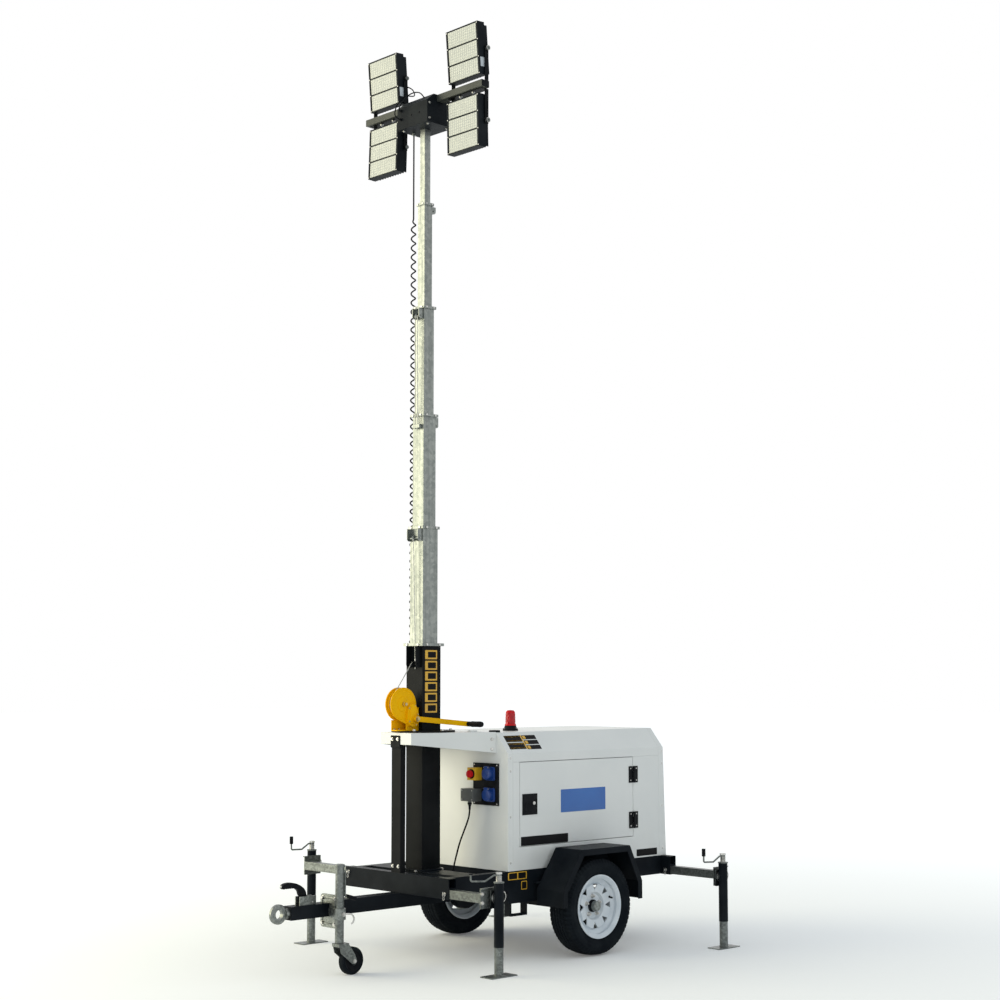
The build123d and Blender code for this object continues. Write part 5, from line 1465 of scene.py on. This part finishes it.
# %% Jack fittings
# Each row is how far a point of the handle is along the arm, out of its face and above its middle.
HANDLE = np.array(((-0.004, 0, 0.030), (0.010, 0.006, 0.031), (0.026, 0.010, 0.026), (0.034, 0.011, 0.008),
                   (0.030, 0.011, -0.012), (0.018, 0.009, -0.026), (0.014, 0.006, -0.040)))
BOSS = [(0, 0.0335), (0.0042, 0.0335), (0.0055, 0.0300)]
THREADS = np.linspace(0.0002, 0.034, 61)
SCREW = np.stack([THREADS, 0.0158 + 0.0009 * np.sin(2 * np.pi * THREADS / 0.0034)], axis=1)
WELD = np.linspace(0, 2 * np.pi, 73)
WELD_R = 0.0258
for corner in LEVELS:
    sign, station, at_y, arm_z = jack_place(corner)
    inboard = 1 if corner.startswith("front") else -1
    out = np.array([0.0, sign, 0.0])
    face_y = at_y - sign * (JACK_R - 0.0038)
    end_bolts = [(station - inboard * 0.082, at_y - sign * (JACK_R + 0.0182), arm_z + step)
                 for step in (0.024, -0.024)]
    pin = np.array([station + 0.0295, face_y, arm_z])
    steel = [turned((station, face_y, arm_z), out, BOSS, 36)]
    steel += bolts(end_bolts, (0, sign, 0), 0.017)
    steel.append(plate(regular(0.0185, 6), (station, at_y, arm_z + JACK_ABOVE + 0.0415), *FACING_UP, 0.010,
                       0.0015))
    steel.append(turned((station, at_y, arm_z + JACK_ABOVE), UP, SCREW, 24))
    steel.append(tube(flowing(pin + HANDLE * (1, sign, 1), 60), 0.0026, 10, (0.0, 1.0, 0.05)))
    steel.append(turned(pin + (-0.004, -0.001 * sign, 0.030), out,
                        [(0, 0.0080), (0.010, 0.0080), (0.012, 0.0060)], 18))
    body = "outrigger_%s_body" % corner
    piece("jack_fittings_" + corner, steel, bright_steel, body)
    ring = np.stack([station + WELD_R * np.cos(WELD), at_y + WELD_R * np.sin(WELD),
                     0.0068 + 0.0008 * np.cos(17 * WELD)], axis=1)
    piece("pad_weld_" + corner, [tube(ring, 0.0032, 8, UP)], arm_zinc, body)
print("jacks fitted")

# %% [markdown]
# At the front the flange plate is bolted to the drawbar, with a raised rim and a black disc that is painted
# shade for an opening. Small bolts go through the two ears that hold the brake lever.

# %% Drawbar fittings
FLANGE_X = AXLE - 1.510
flange_spots = [(FLANGE_X + 0.0002, y, z) for y in (-0.086, 0.020) for z in (0.267, 0.403)]
piece("flange_bolts", bolts(flange_spots, OUT, 0.020), bright_steel, "trailer")
rim_line = rounded(0.112, 0.140, 0.022, 9)
rim_ring = np.stack([np.full(len(rim_line), FLANGE_X), rim_line[:, 0] - 0.033, rim_line[:, 1] + 0.335],
                    axis=1)
rim = tube(np.concatenate([rim_ring, rim_ring[:1]]), 0.0045, 10, OUT)
piece("flange_rim", [rim], cast_zinc, "trailer")
# A black disc stands for the hole: painted shade, not an opening cut in the plate.
hole_shade = turned((FLANGE_X + 0.0004, -0.074, 0.335), OUT, [(0, 0.031), (0.0012, 0.031)], 40)
piece("flange_hole_shade", [hole_shade], black_coat, "trailer")
ear_bolts = [solid for sign in (-1, 1)
             for solid in bolt((AXLE - 1.660 + 0.046, sign * 0.0178, 0.390), (0, sign, 0), 0.012)]
piece("ear_bolts", ear_bolts, bright_steel, "trailer")
print("flange fitted")

# %% [markdown]
# The brake lever is an arched grip. Its outline is a smooth line over the top, a wavy underside for
# the fingers and a smooth line back to the ears. The grip is cut out of that outline and laid on
# both faces again with a wide chamfer, so it feels round, and a press button closes its end.

# %% Brake lever
FINGER = 0.014
LEVER_TOP = ((-1.644, 0.388), (-1.643, 0.418), (-1.651, 0.452), (-1.668, 0.472), (-1.695, 0.488),
             (-1.730, 0.500), (-1.765, 0.504), (-1.793, 0.500), (-1.809, 0.491), (-1.811, 0.480),
             (-1.801, 0.4715))
LEVER_UNDER = ((-1.719, 0.470), (-1.704, 0.458), (-1.696, 0.436), (-1.682, 0.418), (-1.678, 0.388))
finger_x = np.linspace(-1.797, -1.727, 29)
finger_z = 0.4715 + 0.0022 * np.abs(np.sin(np.pi * (finger_x + 1.797) / FINGER))


def profile(points, count):
    """Pairs along x and z on a smooth line through points, with x counted from the axle."""
    return flowing([(AXLE + x, 0.0, z) for x, z in points], count)[:, ::2]


lever_edge = np.concatenate([profile(LEVER_TOP, 60), np.stack([AXLE + finger_x, finger_z], axis=1),
                             profile(LEVER_UNDER, 24)])
grip_edge = lever_edge[np.abs(lever_edge[:, 0] - (AXLE - 1.757)) < 0.052]
lever_solids = [plate(lever_edge, (0, 0.009, 0), *FACING_NEAR, 0.018, 0.0015),
                plate(grip_edge, (0, 0.0128, 0), *FACING_NEAR, 0.0128, 0.0040),
                plate(grip_edge[::-1] * (-1, 1), (0, -0.0128, 0), (-1, 0, 0), UP, 0.0128, 0.0040)]
brake_lever = piece("brake_lever_shown", lever_solids, black_plastic, "lever")
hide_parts("brake_lever")
button = turned((AXLE - 1.8085, 0, 0.486), (-1, 0, -0.12), [(0, 0.0068), (0.0045, 0.0068), (0.006, 0.005)],
                20)
piece("brake_button", [button], bright_steel, "lever")
print("brake lever made")

# %% [markdown]
# A bent wire handle closes the clamp of the jockey wheel. A cap ends the top of its tube, and a nut
# holds the axle of the wheel on each side of the fork.

# %% Jockey wheel fittings
JOCKEY = np.array([AXLE - 1.520, -0.138, 0.0])
CLAMP = [(0.020, -0.026, 0.330), (0.034, -0.034, 0.330), (0.054, -0.040, 0.325), (0.066, -0.042, 0.306),
         (0.062, -0.042, 0.286), (0.050, -0.040, 0.276)]
handle = tube(flowing([JOCKEY + place for place in CLAMP], 60), 0.0045, 12, (0.0, 1.0, 0.05))
clamp_nut = bolt(JOCKEY + (0.0, -0.0355, 0.330), NEAR, 0.018)
piece("jockey_clamp", [handle, *clamp_nut], bright_steel, "trailer")
cap = turned(JOCKEY + (0, 0, 0.5908), UP, [(0, 0.0270), (0.003, 0.0262), (0.0055, 0.0200), (0.0065, 0.006)],
             32)
piece("jockey_cap", [cap], arm_zinc, "trailer")
axle_nuts = [solid for sign in (-1, 1)
             for solid in bolt((AXLE - 1.438, -0.138 + sign * 0.0312, 0.074), (0, sign, 0), 0.017)]
piece("jockey_axle_nuts", axle_nuts, bright_steel, "jockey_swivel")
print("jockey wheel fitted")
